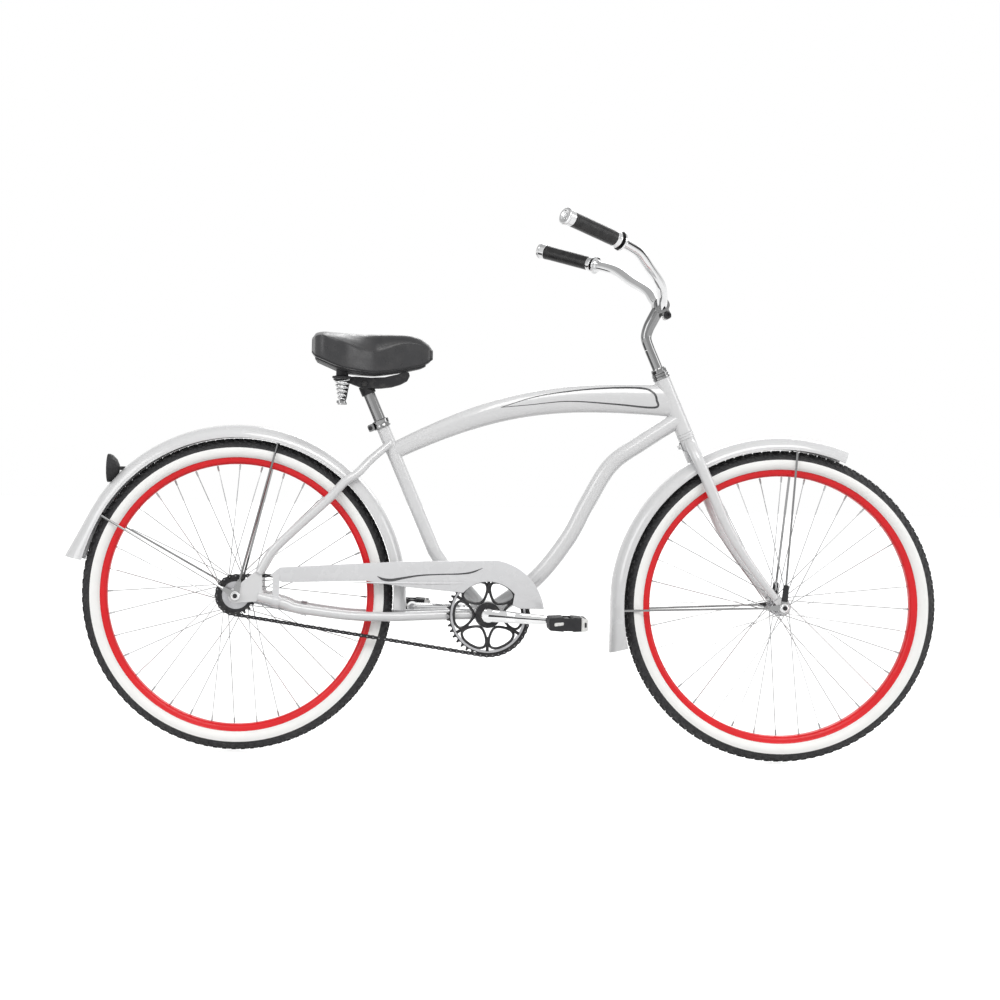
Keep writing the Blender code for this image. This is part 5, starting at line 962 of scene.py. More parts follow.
def headset():
    """The head tube with its two cups, and the lock nut with its flats."""
    bore, tube, cup = 15, HEAD_RADIUS, 18.5
    low, high = 415, 540
    edge = 0.6
    head_piece("head_tube", WHITE,
               [(bore, low), (tube - edge, low), (tube, low + edge), (tube, high - edge),
                (tube - edge, high), (bore, high)])
    for name, face, end, material, slot in (
            ("headset_cup_lower", low, -1, WHITE, "white_paint"),
            ("headset_cup_upper", high, 1, SHADE_PAINTED_CHROME, "chrome")):
        profile = [(13.5, 0.2), (tube + 0.2, 0.2), (cup, 1.2), (cup, 5), (cup - 1.4, 6.2),
                   (cup - 1.4, 7.2), (cup - 0.3, 8), (cup - 0.3, 11), (cup - 1.2, 12), (13.5, 12)]
        head_piece(name, material,
                   [(radius, face + end * height) for radius, height in profile])
    base = high + 12.2
    flats = bmesh.new()
    rings = []
    turns = [tau * k / 96 for k in range(96)]
    for height, radius in ((0, 16), (0.5, 17.3), (2.4, 17.3), (2.8, 16.9), (8.6, 16.9),
                           (9.4, 15.4), (12, 14.6), (12, 12.9), (0, 12.9)):
        ring = []
        for turn in turns:
            wave = (turn + pi / 8) % (tau / 8) - pi / 8
            flat = 15.9 / cos(wave) if 2.5 < height < 9 else radius
            ring.append(steer(base + height, min(radius, flat) * cos(turn),
                              min(radius, flat) * sin(turn)))
        rings.append(ring)
    skin(flats, rings, closed=True)
    stand_in("headset_nut", flats, SHADE_PAINTED_CHROME, "fork", 28)


def stay_clips():
    """The dark clips that hold the front stay's lower ends."""
    shape = bmesh.new()
    angle = radians(85.3)
    outward = Vector((cos(angle), 0, sin(angle)))
    across = Vector((-sin(angle), 0, cos(angle)))
    corners = [FRONT_HUB + outward * reach + across * wide
               for reach, wide in ((13, -6.5), (48, -5.5), (48, 5.5), (13, 6.5))]
    outline = rounded(flattened(corners), 2.5)
    for side in (-1, 1):
        plate(shape, outline, side * (FORK_END_Y + DROPOUT_THICKNESS), 5)
    piece("front_stay_clips", shape, PLASTIC, "fork")


def fork():
    stay_clips()
    fork_crown()
    for tag, side in SIDES:
        fork_blade(tag, side)
    headset()


# Frame

HEAD_RADIUS = 17.5
SEAT_RADIUS = 14.3
SEAT_TUBE_TOP = 461
BRACKET_RADIUS = 28.5
DOWN_TUBE_RADIUS = 17.5
CHAINSTAY_RADIUS = 10
SEATSTAY_RADIUS = 9.5
SEATSTAY_TAPER = 1.4
STAY_END_Y = 57.5
STAY_SPAN = BRACKET.x - REAR_HUB.x
CHAINSTAY_ROUTE = ((0.0886, -1, 57.5), (0.1922, -15, 56), (0.2393, -24, 54.5),
                   (0.3844, -34, 50.5), (0.4805, -38, 48), (0.6218, -38, 44.5),
                   (0.6934, -36.5, 38.5), (0.8103, -33.5, 30), (0.9516, -31, 28))
SEATSTAY_ROUTE = ((0.0904, 48, 57), (0.1394, 93, 56.5), (0.2242, 139, 54), (0.3618, 208, 50.5),
                  (0.4202, 243, 46.5), (0.4711, 262, 40), (0.5182, 289, 28), (0.5954, 326, 11))
TEARDROP = ((-9, 738, 1.2), (68, 763, 2.0), (155, 778, 3.0), (233, 785, 4.0), (291, 785, 4.6),
            (313, 776, 4.6), (320, 761, 4.6), (316, 745, 4.4), (234, 750, 3.2), (136, 754, 2.0),
            (54, 745, 1.4))
HEAD_COPE = (steer(0), STEER_UP, HEAD_RADIUS - 1, HEAD_RADIUS + 22)
SEAT_COPE = (SEAT_FOOT, SEAT_UP, SEAT_RADIUS - 1, SEAT_RADIUS + 14)
BRACKET_COPE = (BRACKET, Y_AXIS, BRACKET_RADIUS - 1, BRACKET_RADIUS + 12)


def top_tube_section(t, sides):
    """The top tube's middle, way up, half sizes and ring at a share of its length."""
    start, end = steer(490), seat_line(394)
    first = start + Vector((-232, 0, 8))
    second = end + Vector((233, 0, 119))
    u = 1 - t
    centre = start * u ** 3 + first * 3 * u * u * t + second * 3 * u * t * t + end * t ** 3
    ahead = (first - start) * u * u + (second - first) * 2 * u * t + (end - second) * t * t
    ahead.normalize()
    up = Vector((ahead.z, 0, -ahead.x))
    high = (67 * u + 37 * t) / 2
    wide = (34 * u + 27 * t) / 2
    ring = []
    for k in range(sides):
        turn = tau * k / sides
        ring.append(centre + up * high * cos(turn)
                    + Y_AXIS * wide * copysign(abs(sin(turn)) ** 0.86, sin(turn)))
    return centre, up, high, wide, ring


def top_tube():
    """The curved top tube, deep at the head and slimmer at the seat."""
    rings = [top_tube_section(t / 60, 48)[4] for t in range(61)]
    shape = bmesh.new()
    skin(shape, fit_ends(rings, HEAD_COPE, SEAT_COPE))
    stand_in("top_tube", shape, WHITE, "frame", 50)


def down_tube():
    """The round tube that sweeps from the head down to the bottom bracket."""
    start = steer(448)
    chord = BRACKET - start
    normal = Vector((-chord.z, 0, chord.x)).normalized()
    sweep = ((0.15, -20), (0.295, -34), (0.46, -12), (0.60, 11), (0.79, 21))
    bends = [start + chord * share + normal * offset for share, offset in sweep]
    rings = rings_along(smooth_path([start, *bends, BRACKET], 10), DOWN_TUBE_RADIUS, 36)
    shape = bmesh.new()
    skin(shape, fit_ends(rings, HEAD_COPE, BRACKET_COPE))
    stand_in("down_tube", shape, WHITE, "frame", 50)


def seat_tube():
    """The tube's curved foot and straight top, open for the post."""
    foot = [BRACKET, seat_line(75.075, 27.984), seat_line(121.935, 9.01), seat_line(165)]
    rings = rings_along([*smooth_path(foot, 8), seat_line(SEAT_TUBE_TOP)], SEAT_RADIUS, 36)
    rings = fit_ends(rings, BRACKET_COPE)
    inner = rings_along([seat_line(SEAT_TUBE_TOP), seat_line(206)], 13.1, 36)
    shape = bmesh.new()
    skin(shape, rings + inner)
    stand_in("seat_tube", shape, WHITE, "frame", 40)


def stay_path(route, side):
    """The middle line of a stay, from its dropout forward."""
    return smooth_path([REAR_HUB + Vector((share * STAY_SPAN, side * y, z))
                        for share, z, y in route], 6)


def chainstay(tag, side):
    """A stay with its dropout plate."""
    rings = rings_along(stay_path(CHAINSTAY_ROUTE, side), CHAINSTAY_RADIUS, 24)
    shape = bmesh.new()
    skin(shape, fit_ends(rings, None, BRACKET_COPE))
    end, after = stay_path(SEATSTAY_ROUTE, side)[:2]
    back = (end - after).normalized()
    across = Vector((back.z, 0, -back.x)).normalized() * 8
    rear, front = sorted(flattened((end + across, end - across)))
    dropout = [rear, *arc(REAR_HUB, 16, 100, 275, 14),
               *near(REAR_HUB, ((49.972, -10.974), (62, -6.014), (55.986, 14.012))), front]
    plate(shape, dropout, side * STAY_END_Y, DROPOUT_THICKNESS)
    stand_in(f"chainstay_{tag}", shape, WHITE, "frame", 40)


def seatstay(tag, side):
    """A stay that narrows at both ends."""
    route = stay_path(SEATSTAY_ROUTE, side)
    count = len(route) - 1
    radii = [SEATSTAY_RADIUS - SEATSTAY_TAPER * max(0, 1 - 5 * min(i, count - i) / count)
             for i in range(count + 1)]
    rings = rings_along(route, radii, 24)
    shape = bmesh.new()
    skin(shape, fit_ends(rings, None, SEAT_COPE[:3] + (SEAT_RADIUS + 2,)))
    stand_in(f"seatstay_{tag}", shape, WHITE, "frame", 40)


def on_top_tube(x, z, side, lift):
    """The place on the top tube's flank beside a point of the bicycle's plane."""
    place = Vector((x, 0, z))

    def apart(section):
        centre, up = section[:2]
        return abs((place - centre).dot(Vector((up.z, 0, -up.x))))

    centre, up, high, wide, _ = min((top_tube_section(t / 160, 4) for t in range(161)), key=apart)
    share = max(-0.97, min(0.97, (place - centre).dot(up) / high))
    y = wide * sqrt(1 - share * share) ** 0.86
    out = Vector((up.x * share * wide / high, side * sqrt(1 - share * share),
                  up.z * share * wide / high)).normalized()
    return Vector((x, side * y, z)) + out * lift, out


def teardrop():
    """A painted pinstripe round the front of the top tube, on both flanks."""
    shape = bmesh.new()
    for side in (-1, 1):
        loop = [Vector((x, width, z)) for x, z, width in TEARDROP]
        route = smooth_path([*loop, loop[0]], 10)[:-1]
        points, outs = zip(*[on_top_tube(p.x, p.z, side, 0.2) for p in route])
        ribbon(shape, points, outs, [p.y for p in route], closed=True)
    piece("top_tube_stripe", shape, STRIPE, "frame")


def frame_tubes():
    top_tube()
    down_tube()
    seat_tube()
    for tag, side in SIDES:
        chainstay(tag, side)
        seatstay(tag, side)
    teardrop()


# Stem, post and collar

CLAMP_ALONG = 685
CLAMP_FORWARD = 57
STEM_BENDS = ((215, 0, 11.1), (90, 0, 11.1), (75, 0, 11.1), (52, 2.3, 11.3), (35, 14.3, 12.2),
              (21, 30.2, 12.8), (2, 54.2, 12.8))


def stem():
    """The quill, the forged arm, and the split clamp with its two ears."""
    shape = bmesh.new()
    route = []
    for below, forward, radius in STEM_BENDS:
        point = steer(CLAMP_ALONG - below, forward)
        route.append(Vector((point.x, radius, point.z)))
    route = smooth_path(route, 5)
    pipe(shape, [Vector((p.x, 0, p.z)) for p in route], [p.y for p in route], 36)
    bore = BAR_RADIUS + 0.2
    profile = [(bore, -19), (15.8, -19), (17, -17.8), (17, 17.8), (15.8, 19), (bore, 19)]
    lathe(shape, profile, CLAMP_CENTRE, Y_AXIS, 48)
    outline = block(steer, CLAMP_ALONG - 20, CLAMP_FORWARD + 3, 25, 17, 6)
    for side in (-1, 1):
        plate(shape, outline, side * 7.2, 11.6, bevel=1)
    stand_in("stem", shape, SHADE_PAINTED_CHROME, "stem_body", 36)


def binder_bolt():
    """The clamp's bolt: a round head with a hex socket, and a nut. The bolt is black steel and the
    socket's walls black plastic: painted shade where the bolt lies in shadow at the clamp.
    """
    shape = bmesh.new()
    centre = steer(CLAMP_ALONG - 24, CLAMP_FORWARD + 4)
    cross_rod(shape, centre, -14, 19.2, 4, 20, 0.5)
    head = [(3.4, -16.5), (3.4, -19.2), (6.4, -19.2), (7.5, -18), (7.5, -13.3), (3.4, -13.3)]
    # Black plastic socket walls in a black steel bolt: painted shade of the shadowed recess at the
    # clamp
    lathe(shape, head, centre, Y_AXIS, 32, indices=[1, 0, 0, 0, 0, 1])
    cross_rod(shape, centre, 13.3, 17.3, 7, 6, 0.5)
    stand_in("stem_binder_bolt", shape, [BLACK, PLASTIC], "stem_body")


def seatpost():
    """The straight post, chamfered at both ends."""
    shape = bmesh.new()
    rod(shape, seat_line(341), seat_line(541), 12.65, 40, bevel=1)
    stand_in("seatpost", shape, SHADE_PAINTED_CHROME, "seat_mast")


def seat_collar():
    """A clamp ring round the seat tube's top, with two ears behind it and their bolt."""
    shape = bmesh.new()
    inner = 14.6
    profile = [(inner, 449), (17.2, 449), (18.1, 450), (18.1, 454), (17.6, 455),
               (17.6, 461), (18.1, 462), (18.1, 466), (17.2, 467), (inner, 467)]
    lathe(shape, profile, SEAT_FOOT, SEAT_UP, 56)
    outline = block(seat_line, 458, -23.1, 15, 14, 4)
    for side in (-1, 1):
        plate(shape, outline, side * 4.2, 5.6, bevel=0.7)
    bolt = seat_line(458, -25.1)
    cross_rod(shape, bolt, -9, 9, 3, 20, index=1)
    for side, corners in ((-1, 24), (1, 6)):
        cross_rod(shape, bolt, side * 7.2, side * 14, 4.6, corners, 0.7, 1)
    stand_in("seat_collar", shape, [SHADE_PAINTED_CHROME, BLACK], "frame")


def stem_and_post():
    stem()
    binder_bolt()
    seatpost()
    seat_collar()


# Sprockets, cranks and pedals

CRANK_LENGTH = 158
CRANK_ANGLE = radians(-2.5)
CRANK_END_Y = 80
CRANK_STATIONS = ((-9, 60), (0, 59), (22, 60), (40, 65), (60, 74), (100, 78),
                  (CRANK_LENGTH, CRANK_END_Y))
CRANK_AXLE_RADIUS = 12
CRANK_DEPTH = 27
CRANK_TAPER = 10
CRANK_HALF_THICKNESS = 5.5
PEDAL_Y = 137
SPROCKET_HALF = 1.1
RING_WINDOW = ((72.5, 0), (72, 13), (68, 23), (60, 27), (50, 26.5), (40, 21.5), (32.5, 12), (30, 0),
               (32.5, -12), (40, -21.5), (50, -26.5), (60, -27), (68, -23), (72, -13))
GUARD_FACE = -61.1
GUARD_STRIPE = ((-262, 377, 1), (-249, 371, 5.5), (-231, 370, 6), (-206, 375, 4.4),
                (-172, 381, 3.2), (-131, 384, 2.6), (-89, 386, 3), (-64, 390, 3.6), (-42, 399, 1))
GUARD_RIB = ((-322, 363), (-214, 364), (-140, 365), (-72, 367))
GUARD_TAIL = ((71, 44), (92, 61), (344, 79))
GUARD_TOE = ((65, 16), (50, 22))
GUARD_UNDER = ((355, 26), (272, 37), (98, 30))


def tooth_phase(node, hub):
    """The angle of a tooth's tip on a sprocket's solid."""
    solid = NODES[node]
    corners = [solid.matrix_world @ vertex.co - hub * MM for vertex in solid.data.vertices]
    tip = max(corners, key=lambda corner: corner.x ** 2 + corner.z ** 2)
    return atan2(tip.z, tip.x)


def band(shape, hub, outline, inner, y, half, index=0):
    """A flat ring between an outline of (radius, angle) and a round hole."""
    rings = []
    for inset, depth in ((0.35, -half), (0, -half + 0.35), (0, half - 0.35), (0.35, half)):
        rings.append([polar(hub, radius - inset, angle, y + depth) for radius, angle in outline])
    for depth in (half, -half):
        rings.append([polar(hub, inner, angle, y + depth) for _, angle in outline])
    skin(shape, rings, closed=True, index=index)


def teeth(pitch_radius, count, phase):
    """A sprocket's edge: hollow roots for the rollers and short rounded teeth."""
    outline = []
    for tooth in range(count):
        for share, rise in ((-0.5, -4.0), (-0.36, -3.9), (-0.24, -2.6), (-0.17, 0.4), (-0.11, 2.6),
                            (0.11, 2.6), (0.17, 0.4), (0.24, -2.6), (0.36, -3.9)):
            outline.append((pitch_radius + rise, phase + (tooth + share) * tau / count))
    return outline


def chainring():
    """A toothed ring held by six slim arms, with oval windows between them."""
    shape = bmesh.new()
    edge = teeth(RING_PITCH_RADIUS, RING_TEETH, tooth_phase("chainring", BRACKET))
    band(shape, BRACKET, edge, 79.5, CHAIN_LINE_Y, SPROCKET_HALF)
    turns = [tau * k / 96 for k in range(96)]
    band(shape, BRACKET, [(79.6, turn) for turn in turns], 74, CHAIN_LINE_Y, 0.9, 1)
    band(shape, BRACKET, [(26.5, turn) for turn in turns], CRANK_AXLE_RADIUS + 0.3,
         CHAIN_LINE_Y, 2.2)
    for arm in range(6):
        middle = radians(60 + arm * 60)
        window = []
        for radius, angle in RING_WINDOW:
            window.append(polar(BRACKET, radius, middle + radians(angle), CHAIN_LINE_Y))
        loop = smooth_path([*window, window[0]], 4)[:-1]
        pipe(shape, loop, 2.9, 8, closed=True)
        spoke = middle + radians(30)
        rod(shape, polar(BRACKET, 46, spoke, CHAIN_LINE_Y),
            polar(BRACKET, 76, spoke, CHAIN_LINE_Y), 3.4, 10)
    stand_in("chainring", shape, [BLACK, STEEL], "cranks", 40)


def rear_cog():
    """The cog, with a bright disc inside it, on its driver."""
    shape = bmesh.new()
    edge = teeth(COG_PITCH_RADIUS, COG_TEETH, tooth_phase("rear_cog", REAR_HUB))
    band(shape, REAR_HUB, edge, 24, CHAIN_LINE_Y, SPROCKET_HALF)
    profile = [(5.4, -50), (13.6, -50), (15, -48.8), (15, -46.6), (29, -46.4), (29, -46.1),
               (15, -46.1), (15, -36.5), (5.4, -36.5)]
    lathe(shape, profile, REAR_HUB, Y_AXIS, 48, index=1)
    stand_in("rear_cog", shape, [BLACK, STEEL], "driver", 34)


def crank_arm(shape, side, angle):
    """A forged arm of rounded section that bends out past the chainring."""
    along = Vector((cos(angle), 0, sin(angle)))
    up = Vector((-sin(angle), 0, cos(angle)))
    route = [Vector((reach, y, CRANK_DEPTH - CRANK_TAPER * max(reach, 0) / CRANK_LENGTH))
             for reach, y in CRANK_STATIONS]
    rings = []
    for place in smooth_path(route, 6):
        centre = BRACKET + (along * place.x + Y_AXIS * side * place.y)
        ring = []
        for k in range(24):
            c, s = cos(tau * k / 24), sin(tau * k / 24)
            ring.append(centre + up * place.z / 2 * copysign(abs(c) ** 0.8, c)
                        + Y_AXIS * CRANK_HALF_THICKNESS * copysign(abs(s) ** 0.62, s))
        rings.append(ring)
    skin(shape, rings)
    eye = BRACKET + along * CRANK_LENGTH + Y_AXIS * side * CRANK_END_Y
    profile = [(6.6, -5.9), (10.9, -5.9), (11.5, -5.2), (11.5, 5.2), (10.9, 5.9), (6.6, 5.9)]
    lathe(shape, profile, eye, Y_AXIS, 40)


def crank():
    """The axle with its two bosses, and two arms, each with a flat black strip along it: painted
    shade where a groove would lie.
    """
    shape = bmesh.new()
    cross_rod(shape, BRACKET, -60, 60, CRANK_AXLE_RADIUS, 36)
    for side, angle in ((-1, CRANK_ANGLE), (1, CRANK_ANGLE + pi)):
        crank_arm(shape, side, angle)
    boss = [(0, 52), (13, 52), (14.5, 54), (14.5, 62), (13, 63.6), (7, 64), (0, 64)]
    for side in (-1, 1):
        lathe(shape, boss, BRACKET, Y_AXIS * side, 40, closed=False)
    for side, angle in ((-1, CRANK_ANGLE), (1, CRANK_ANGLE + pi)):
        along = Vector((cos(angle), 0, sin(angle)))
        # A flat black strip along each chrome arm: painted shade of a groove
        groove_shade = [(reach, y + 5.65) for reach, y in CRANK_STATIONS[1:-1]] + [(138, 85)]
        route = smooth_path([BRACKET + along * reach + Y_AXIS * side * y for reach, y in groove_shade], 6)
        widths = [4.2 * (1 - 0.6 * i / len(route)) for i in range(len(route))]
        ribbon(shape, route, [Y_AXIS * side] * len(route), widths, index=1)
    stand_in("crank", shape, [CHROME, BLACK], "cranks", 40)


def pedal(tag, side, angle):
    """Two grooved tread blocks between end plates, with a pale lens at the front end."""
    eye = BRACKET + Vector((cos(angle), 0, sin(angle))) * CRANK_LENGTH
    middle_y = side * PEDAL_Y
    shape = bmesh.new()
    cross_rod(shape, eye, side * 94.3, side * 177, 11, 28, 1)
    for way in (-1, 1):
        tread = ((8 * way, -15), (39 * way, -13), (39 * way, 13), (8 * way, 15))
        for part in range(5):
            y = middle_y + (part - 2) * 15.6
            plate(shape, rounded(near(eye, tread), 4), y, 14.2, bevel=1.2)
        core = ((8.5 * way, -13), (38 * way, -11.5), (38 * way, 11.5), (8.5 * way, 13))
        plate(shape, near(eye, core), middle_y, 76)
    lens = rounded(near(eye, ((26, -14), (39.8, -12.5), (39.8, 12.5), (26, 14))), 3)
    plate(shape, lens, middle_y, 80, index=1, bevel=1)
    stud = rounded(near(eye, ((32.5, -5), (37, -5), (37, 5), (32.5, 5))), 1.5)
    cheek = rounded(near(eye, ((-38, -13), (25, -13), (25, 13), (-38, 13))), 5)
    slot = rounded(near(eye, ((-29, -4), (-10, -1), (-10, 5), (-29, 3))), 2.5)
    for end in (-1, 1):
        plate(shape, stud, middle_y + end * 40.2, 0.8)
        plate(shape, cheek, middle_y + end * 41.4, 2.4)
        plate(shape, slot, middle_y + end * 42.7, 0.4, index=1, bevel=0.1)
    stand_in(f"pedal_{tag}", shape, [PLASTIC, PALE_LENS], f"{tag}_pedal", 34)


def inwards(outline, distance):
    """A flat outline drawn in by a distance at every corner."""
    drawn = []
    for i, corner in enumerate(outline):
        here = Vector(corner)
        first = (here - Vector(outline[i - 1])).normalized()
        second = (Vector(outline[(i + 1) % len(outline)]) - here).normalized()
        way = Vector((first.y + second.y, -first.x - second.x)).normalized()
        lean = max(0.5, way.dot(Vector((second.y, -second.x))))
        drawn.append(tuple(here + way * distance / lean))
    return drawn


def guard_outline():
    """The guard's edge: tail, top, the disc over the chainring, toe, window and underside."""
    return [*near(REAR_HUB, GUARD_TAIL), *arc(BRACKET, 117, 82, 8, 36), *near(BRACKET, GUARD_TOE),
            *arc(BRACKET, 71, 40, 139, 36), *near(REAR_HUB, GUARD_UNDER)]


def chain_guard():
    """A pressed guard with a folded edge, its strap on the chainstay and its bracket."""
    outline = guard_outline()
    shape = bmesh.new()
    rings = []
    for drawn, y in ((1.4, -61), (0.4, -60.7), (0, -60), (0, -54), (1.6, -54), (1.8, -59)):
        rings.append([Vector((x, y, z)) for x, z in inwards(outline, drawn)])
    skin(shape, rings)
    clip_x = REAR_HUB.x + 84.5
    route = stay_path(CHAINSTAY_ROUTE, -1)
    after = next(i for i, point in enumerate(route) if point.x > clip_x)
    low, high = route[after - 1], route[after]
    centre = low.lerp(high, (clip_x - low.x) / (high.x - low.x))
    collar = [(10.1, -8), (11.9, -8), (12.3, -7.4), (12.3, 7.4), (11.9, 8), (10.1, 8)]
    lathe(shape, collar, centre, (high - low).normalized(), 32)
    top = REAR_HUB.z + 48
    strap = [(clip_x - 7, centre.z), (clip_x + 7, centre.z), (clip_x + 7, top), (clip_x - 7, top)]
    plate(shape, rounded(strap, 4), GUARD_FACE, 1.6)
    seat_x = seat_line(155).x
    level = BRACKET.z + 103
    bracket = [Vector((seat_x + x, y, level + z))
               for z in (-1, 1) for x, y in ((-8, -12), (8, -12), (8, -59), (-8, -59))]
    skin(shape, [bracket[:4], bracket[4:]])
    stand_in("chain_guard", shape, GUARD, "frame", 36)


def guard_trim():
    """A tapering painted line along the guard's face, and the pressed rib under it."""
    shape = bmesh.new()
    route = smooth_path([Vector((x, width, z)) for x, z, width in GUARD_STRIPE], 10)
    points = [Vector((p.x, GUARD_FACE, p.z)) for p in route]
    ribbon(shape, points, [-Y_AXIS] * len(points), [p.y for p in route])
    piece("guard_stripe", shape, STRIPE, "frame")
    shape = bmesh.new()
    ends = [Vector((x, GUARD_FACE + 0.7, z)) for x, z in GUARD_RIB]
    path = smooth_path(ends, 8)
    count = len(path)
    radii = [2.2 * min(1, 0.2 + 4 * min(i, count - 1 - i) / count) for i in range(count)]
    pipe(shape, path, radii, 14)
    piece("guard_rib", shape, GUARD, "frame")


def drive():
    chain_guard()
    guard_trim()
    chainring()
    rear_cog()
    crank()
    pedal("right", -1, CRANK_ANGLE)
    pedal("left", 1, CRANK_ANGLE + pi)


# Chain

LINK_THICKNESS = 1.05
CENTRES = (BRACKET - REAR_HUB).length
CHAIN_LEAN = asin((RING_PITCH_RADIUS - COG_PITCH_RADIUS) / CENTRES)
CHAIN_RUN = sqrt(CENTRES ** 2 - (RING_PITCH_RADIUS - COG_PITCH_RADIUS) ** 2) / CHAIN_PITCH
ON_RING = RING_TEETH * (pi + 2 * CHAIN_LEAN) / tau
CHAIN_FORWARD = (BRACKET - REAR_HUB).normalized()
CHAIN_UP = Vector((-CHAIN_FORWARD.z, 0, CHAIN_FORWARD.x))
UPPER_OUT = CHAIN_UP * cos(CHAIN_LEAN) - CHAIN_FORWARD * sin(CHAIN_LEAN)
LOWER_OUT = -CHAIN_UP * cos(CHAIN_LEAN) - CHAIN_FORWARD * sin(CHAIN_LEAN)


def forward_turn(vector, angle):
    """A vector turned the way that a wheel rolls forward."""
    cosine, sine = cos(angle), sin(angle)
    return Vector((vector.x * cosine + vector.z * sine, 0, vector.z * cosine - vector.x * sine))


def chain_point(pitches):
    """A place on the chain's pitch line, this many pitches after it leaves the top of the cog."""
    rest = pitches
    if rest < CHAIN_RUN:
        start = REAR_HUB + UPPER_OUT * COG_PITCH_RADIUS
        return start.lerp(BRACKET + UPPER_OUT * RING_PITCH_RADIUS, rest / CHAIN_RUN)
    rest -= CHAIN_RUN
    if rest < ON_RING:
        return BRACKET + forward_turn(UPPER_OUT, rest * tau / RING_TEETH) * RING_PITCH_RADIUS
    rest -= ON_RING
    if rest < CHAIN_RUN:
        start = BRACKET + LOWER_OUT * RING_PITCH_RADIUS
        return start.lerp(REAR_HUB + LOWER_OUT * COG_PITCH_RADIUS, rest / CHAIN_RUN)
    rest -= CHAIN_RUN
    return REAR_HUB + forward_turn(LOWER_OUT, rest * tau / COG_TEETH) * COG_PITCH_RADIUS


def link_plate(shape, start, end, y, height, waist):
    """A side plate with round ends and a drawn-in waist, lying in the plane of the bicycle."""
    ahead = (end - start).normalized()
    up = Vector((-ahead.z, 0, ahead.x))
    outline = []
    for centre, first in ((end, -90), (start, 90)):
        for i in range(8):
            turn = radians(first + 180 * i / 7)
            outline.append(centre + ahead * height * cos(turn) + up * height * sin(turn))
        middle = (start + end) / 2
        outline.append(middle + up * (waist if centre is end else -waist))
    skin(shape, [[point + Y_AXIS * (y + depth) for point in outline]
                 for depth in (-LINK_THICKNESS / 2, LINK_THICKNESS / 2)])


def chain():
    """Roller chain: narrow and wide links by turns, a roller and a riveted pin at each joint."""
    shape = bmesh.new()
    pins = [chain_point(i) for i in range(CHAIN_LINKS)]
    for i, pin in enumerate(pins):
        after = pins[(i + 1) % CHAIN_LINKS]
        wide = i % 2 == 1
        # the count is odd, so the last link is narrow like the first, and steps out past it
        level = 3.55 if wide or i == CHAIN_LINKS - 1 else 2.4
        height, waist = (3.9, 2.7) if wide else (4.1, 3.1)
        for side in (-1, 1):
            link_plate(shape, pin, after, CHAIN_LINE_Y + side * level, height, waist)
        line = pin + Y_AXIS * CHAIN_LINE_Y
        cross_rod(shape, line, -1.7, 1.7, 3.7, 14, index=1)
        cross_rod(shape, line, -4.5, 4.5, 1.7, 10, 0.25, 1)
    piece("chain_links", shape, [BLACK, DARK_STEEL], "frame", ["chain"], 30)


# Bars and grips

CAP_SKIRT = 13


def bar_point(offset, side):
    """A place on the handlebar from its (x, z, y) distances from the clamp."""
    x, z, y = offset
    return CLAMP_CENTRE + Vector((x, side * y, z))


def grip_line(side):
    """Where a grip starts, where the bar ends, and the way between them."""
    start = bar_point(GRIP_START, side)
    end = bar_point(BAR_END, side)
    return start, end, (end - start).normalized()


def handlebar():
    """A swept-back bar of bright tube, with a stepped collar in front of each grip."""
    right, left = ([bar_point(offset, side) for offset in (*BAR_BENDS, GRIP_START, BAR_END)]
                   for side in (-1, 1))
    route = right[::-1] + left[1:]
    path = [route[0], *smooth_path(route[1:-1], 6), route[-1]]
    shape = bmesh.new()
    pipe(shape, path, BAR_RADIUS, 32)
    for side in (-1, 1):
        start, _, along = grip_line(side)
        profile = [(10.8, -9), (12.2, -8.4), (13, -3), (14.4, -1), (19, -0.4), (20, 0.8), (20, 2.6),
                   (19, 3.6), (12.4, 4.2), (12.4, 8.6), (15, 9.2), (16.6, 10.6), (16.8, 15),
                   (15.6, 18.6), (15.6, 20.4), (10.8, 20.4)]
        # The recessed neck between the flange and the collar is black: painted shade in the recess
        lathe(shape, profile, start, along, 48, indices=[0] * 7 + [1] * 3 + [0] * 6)
    stand_in("handlebar", shape, [CHROME, BLACK], "bars", 34)


def grip(tag, side):
    """A rubber grip with close shallow ribs between two smooth bands."""
    start, end, along = grip_line(side)
    first = 20.6
    last = (end - start).length - CAP_SKIRT
    bands = 34
    profile = [(BAR_RADIUS + 0.2, last), (BAR_RADIUS + 0.2, first), (14.6, first),
               (15.4, first + 1), (15.4, first + 4)]
    low = first + 5
    high = last - 7
    pitch = (high - low) / bands
    for i in range(bands):
        at = low + pitch * i
        profile += [(15.3, at), (15.5, at + pitch * 0.25), (15.6, at + pitch * 0.5),
                    (15.5, at + pitch * 0.75)]
    profile += [(15.3, high), (15.8, high + 0.8), (15.8, last - 1), (15, last)]
    shape = bmesh.new()
    lathe(shape, profile, start, along, 40)
    stand_in(f"grip_{tag}", shape, GRIP, "bars", 40)


def grip_cap(tag, side):
    """A bright end cap with a skirt over the bar's end, a rolled lip and an open middle."""
    _, end, along = grip_line(side)
    sleeve = 8.1
    bore = 6.1
    profile = [(bore, -10), (sleeve, -10), (sleeve, 0.3), (BAR_RADIUS + 0.2, 0.3),
               (BAR_RADIUS + 0.2, -CAP_SKIRT), (16.2, -CAP_SKIRT), (16.9, 0.8 - CAP_SKIRT),
               (16.9, -1), (16.2, -0.4), (16.2, 0.4), (17.4, 0.5),
               (18, 1.1), (18, 3.0), (17.3, 4.6), (16, 5.3),
               (12.5, 5.3), (11.4, 4.7), (10.6, 3.6), (8.2, 3.0),
               (bore + 0.5, 2.6), (bore, 2.0)]
    shape = bmesh.new()
    lathe(shape, profile, end, along, 48)
    stand_in(f"grip_cap_{tag}", shape, CHROME, "bars", 40)


def bars():
    handlebar()
    for tag, side in SIDES:
        grip(tag, side)
        grip_cap(tag, side)


# Saddle

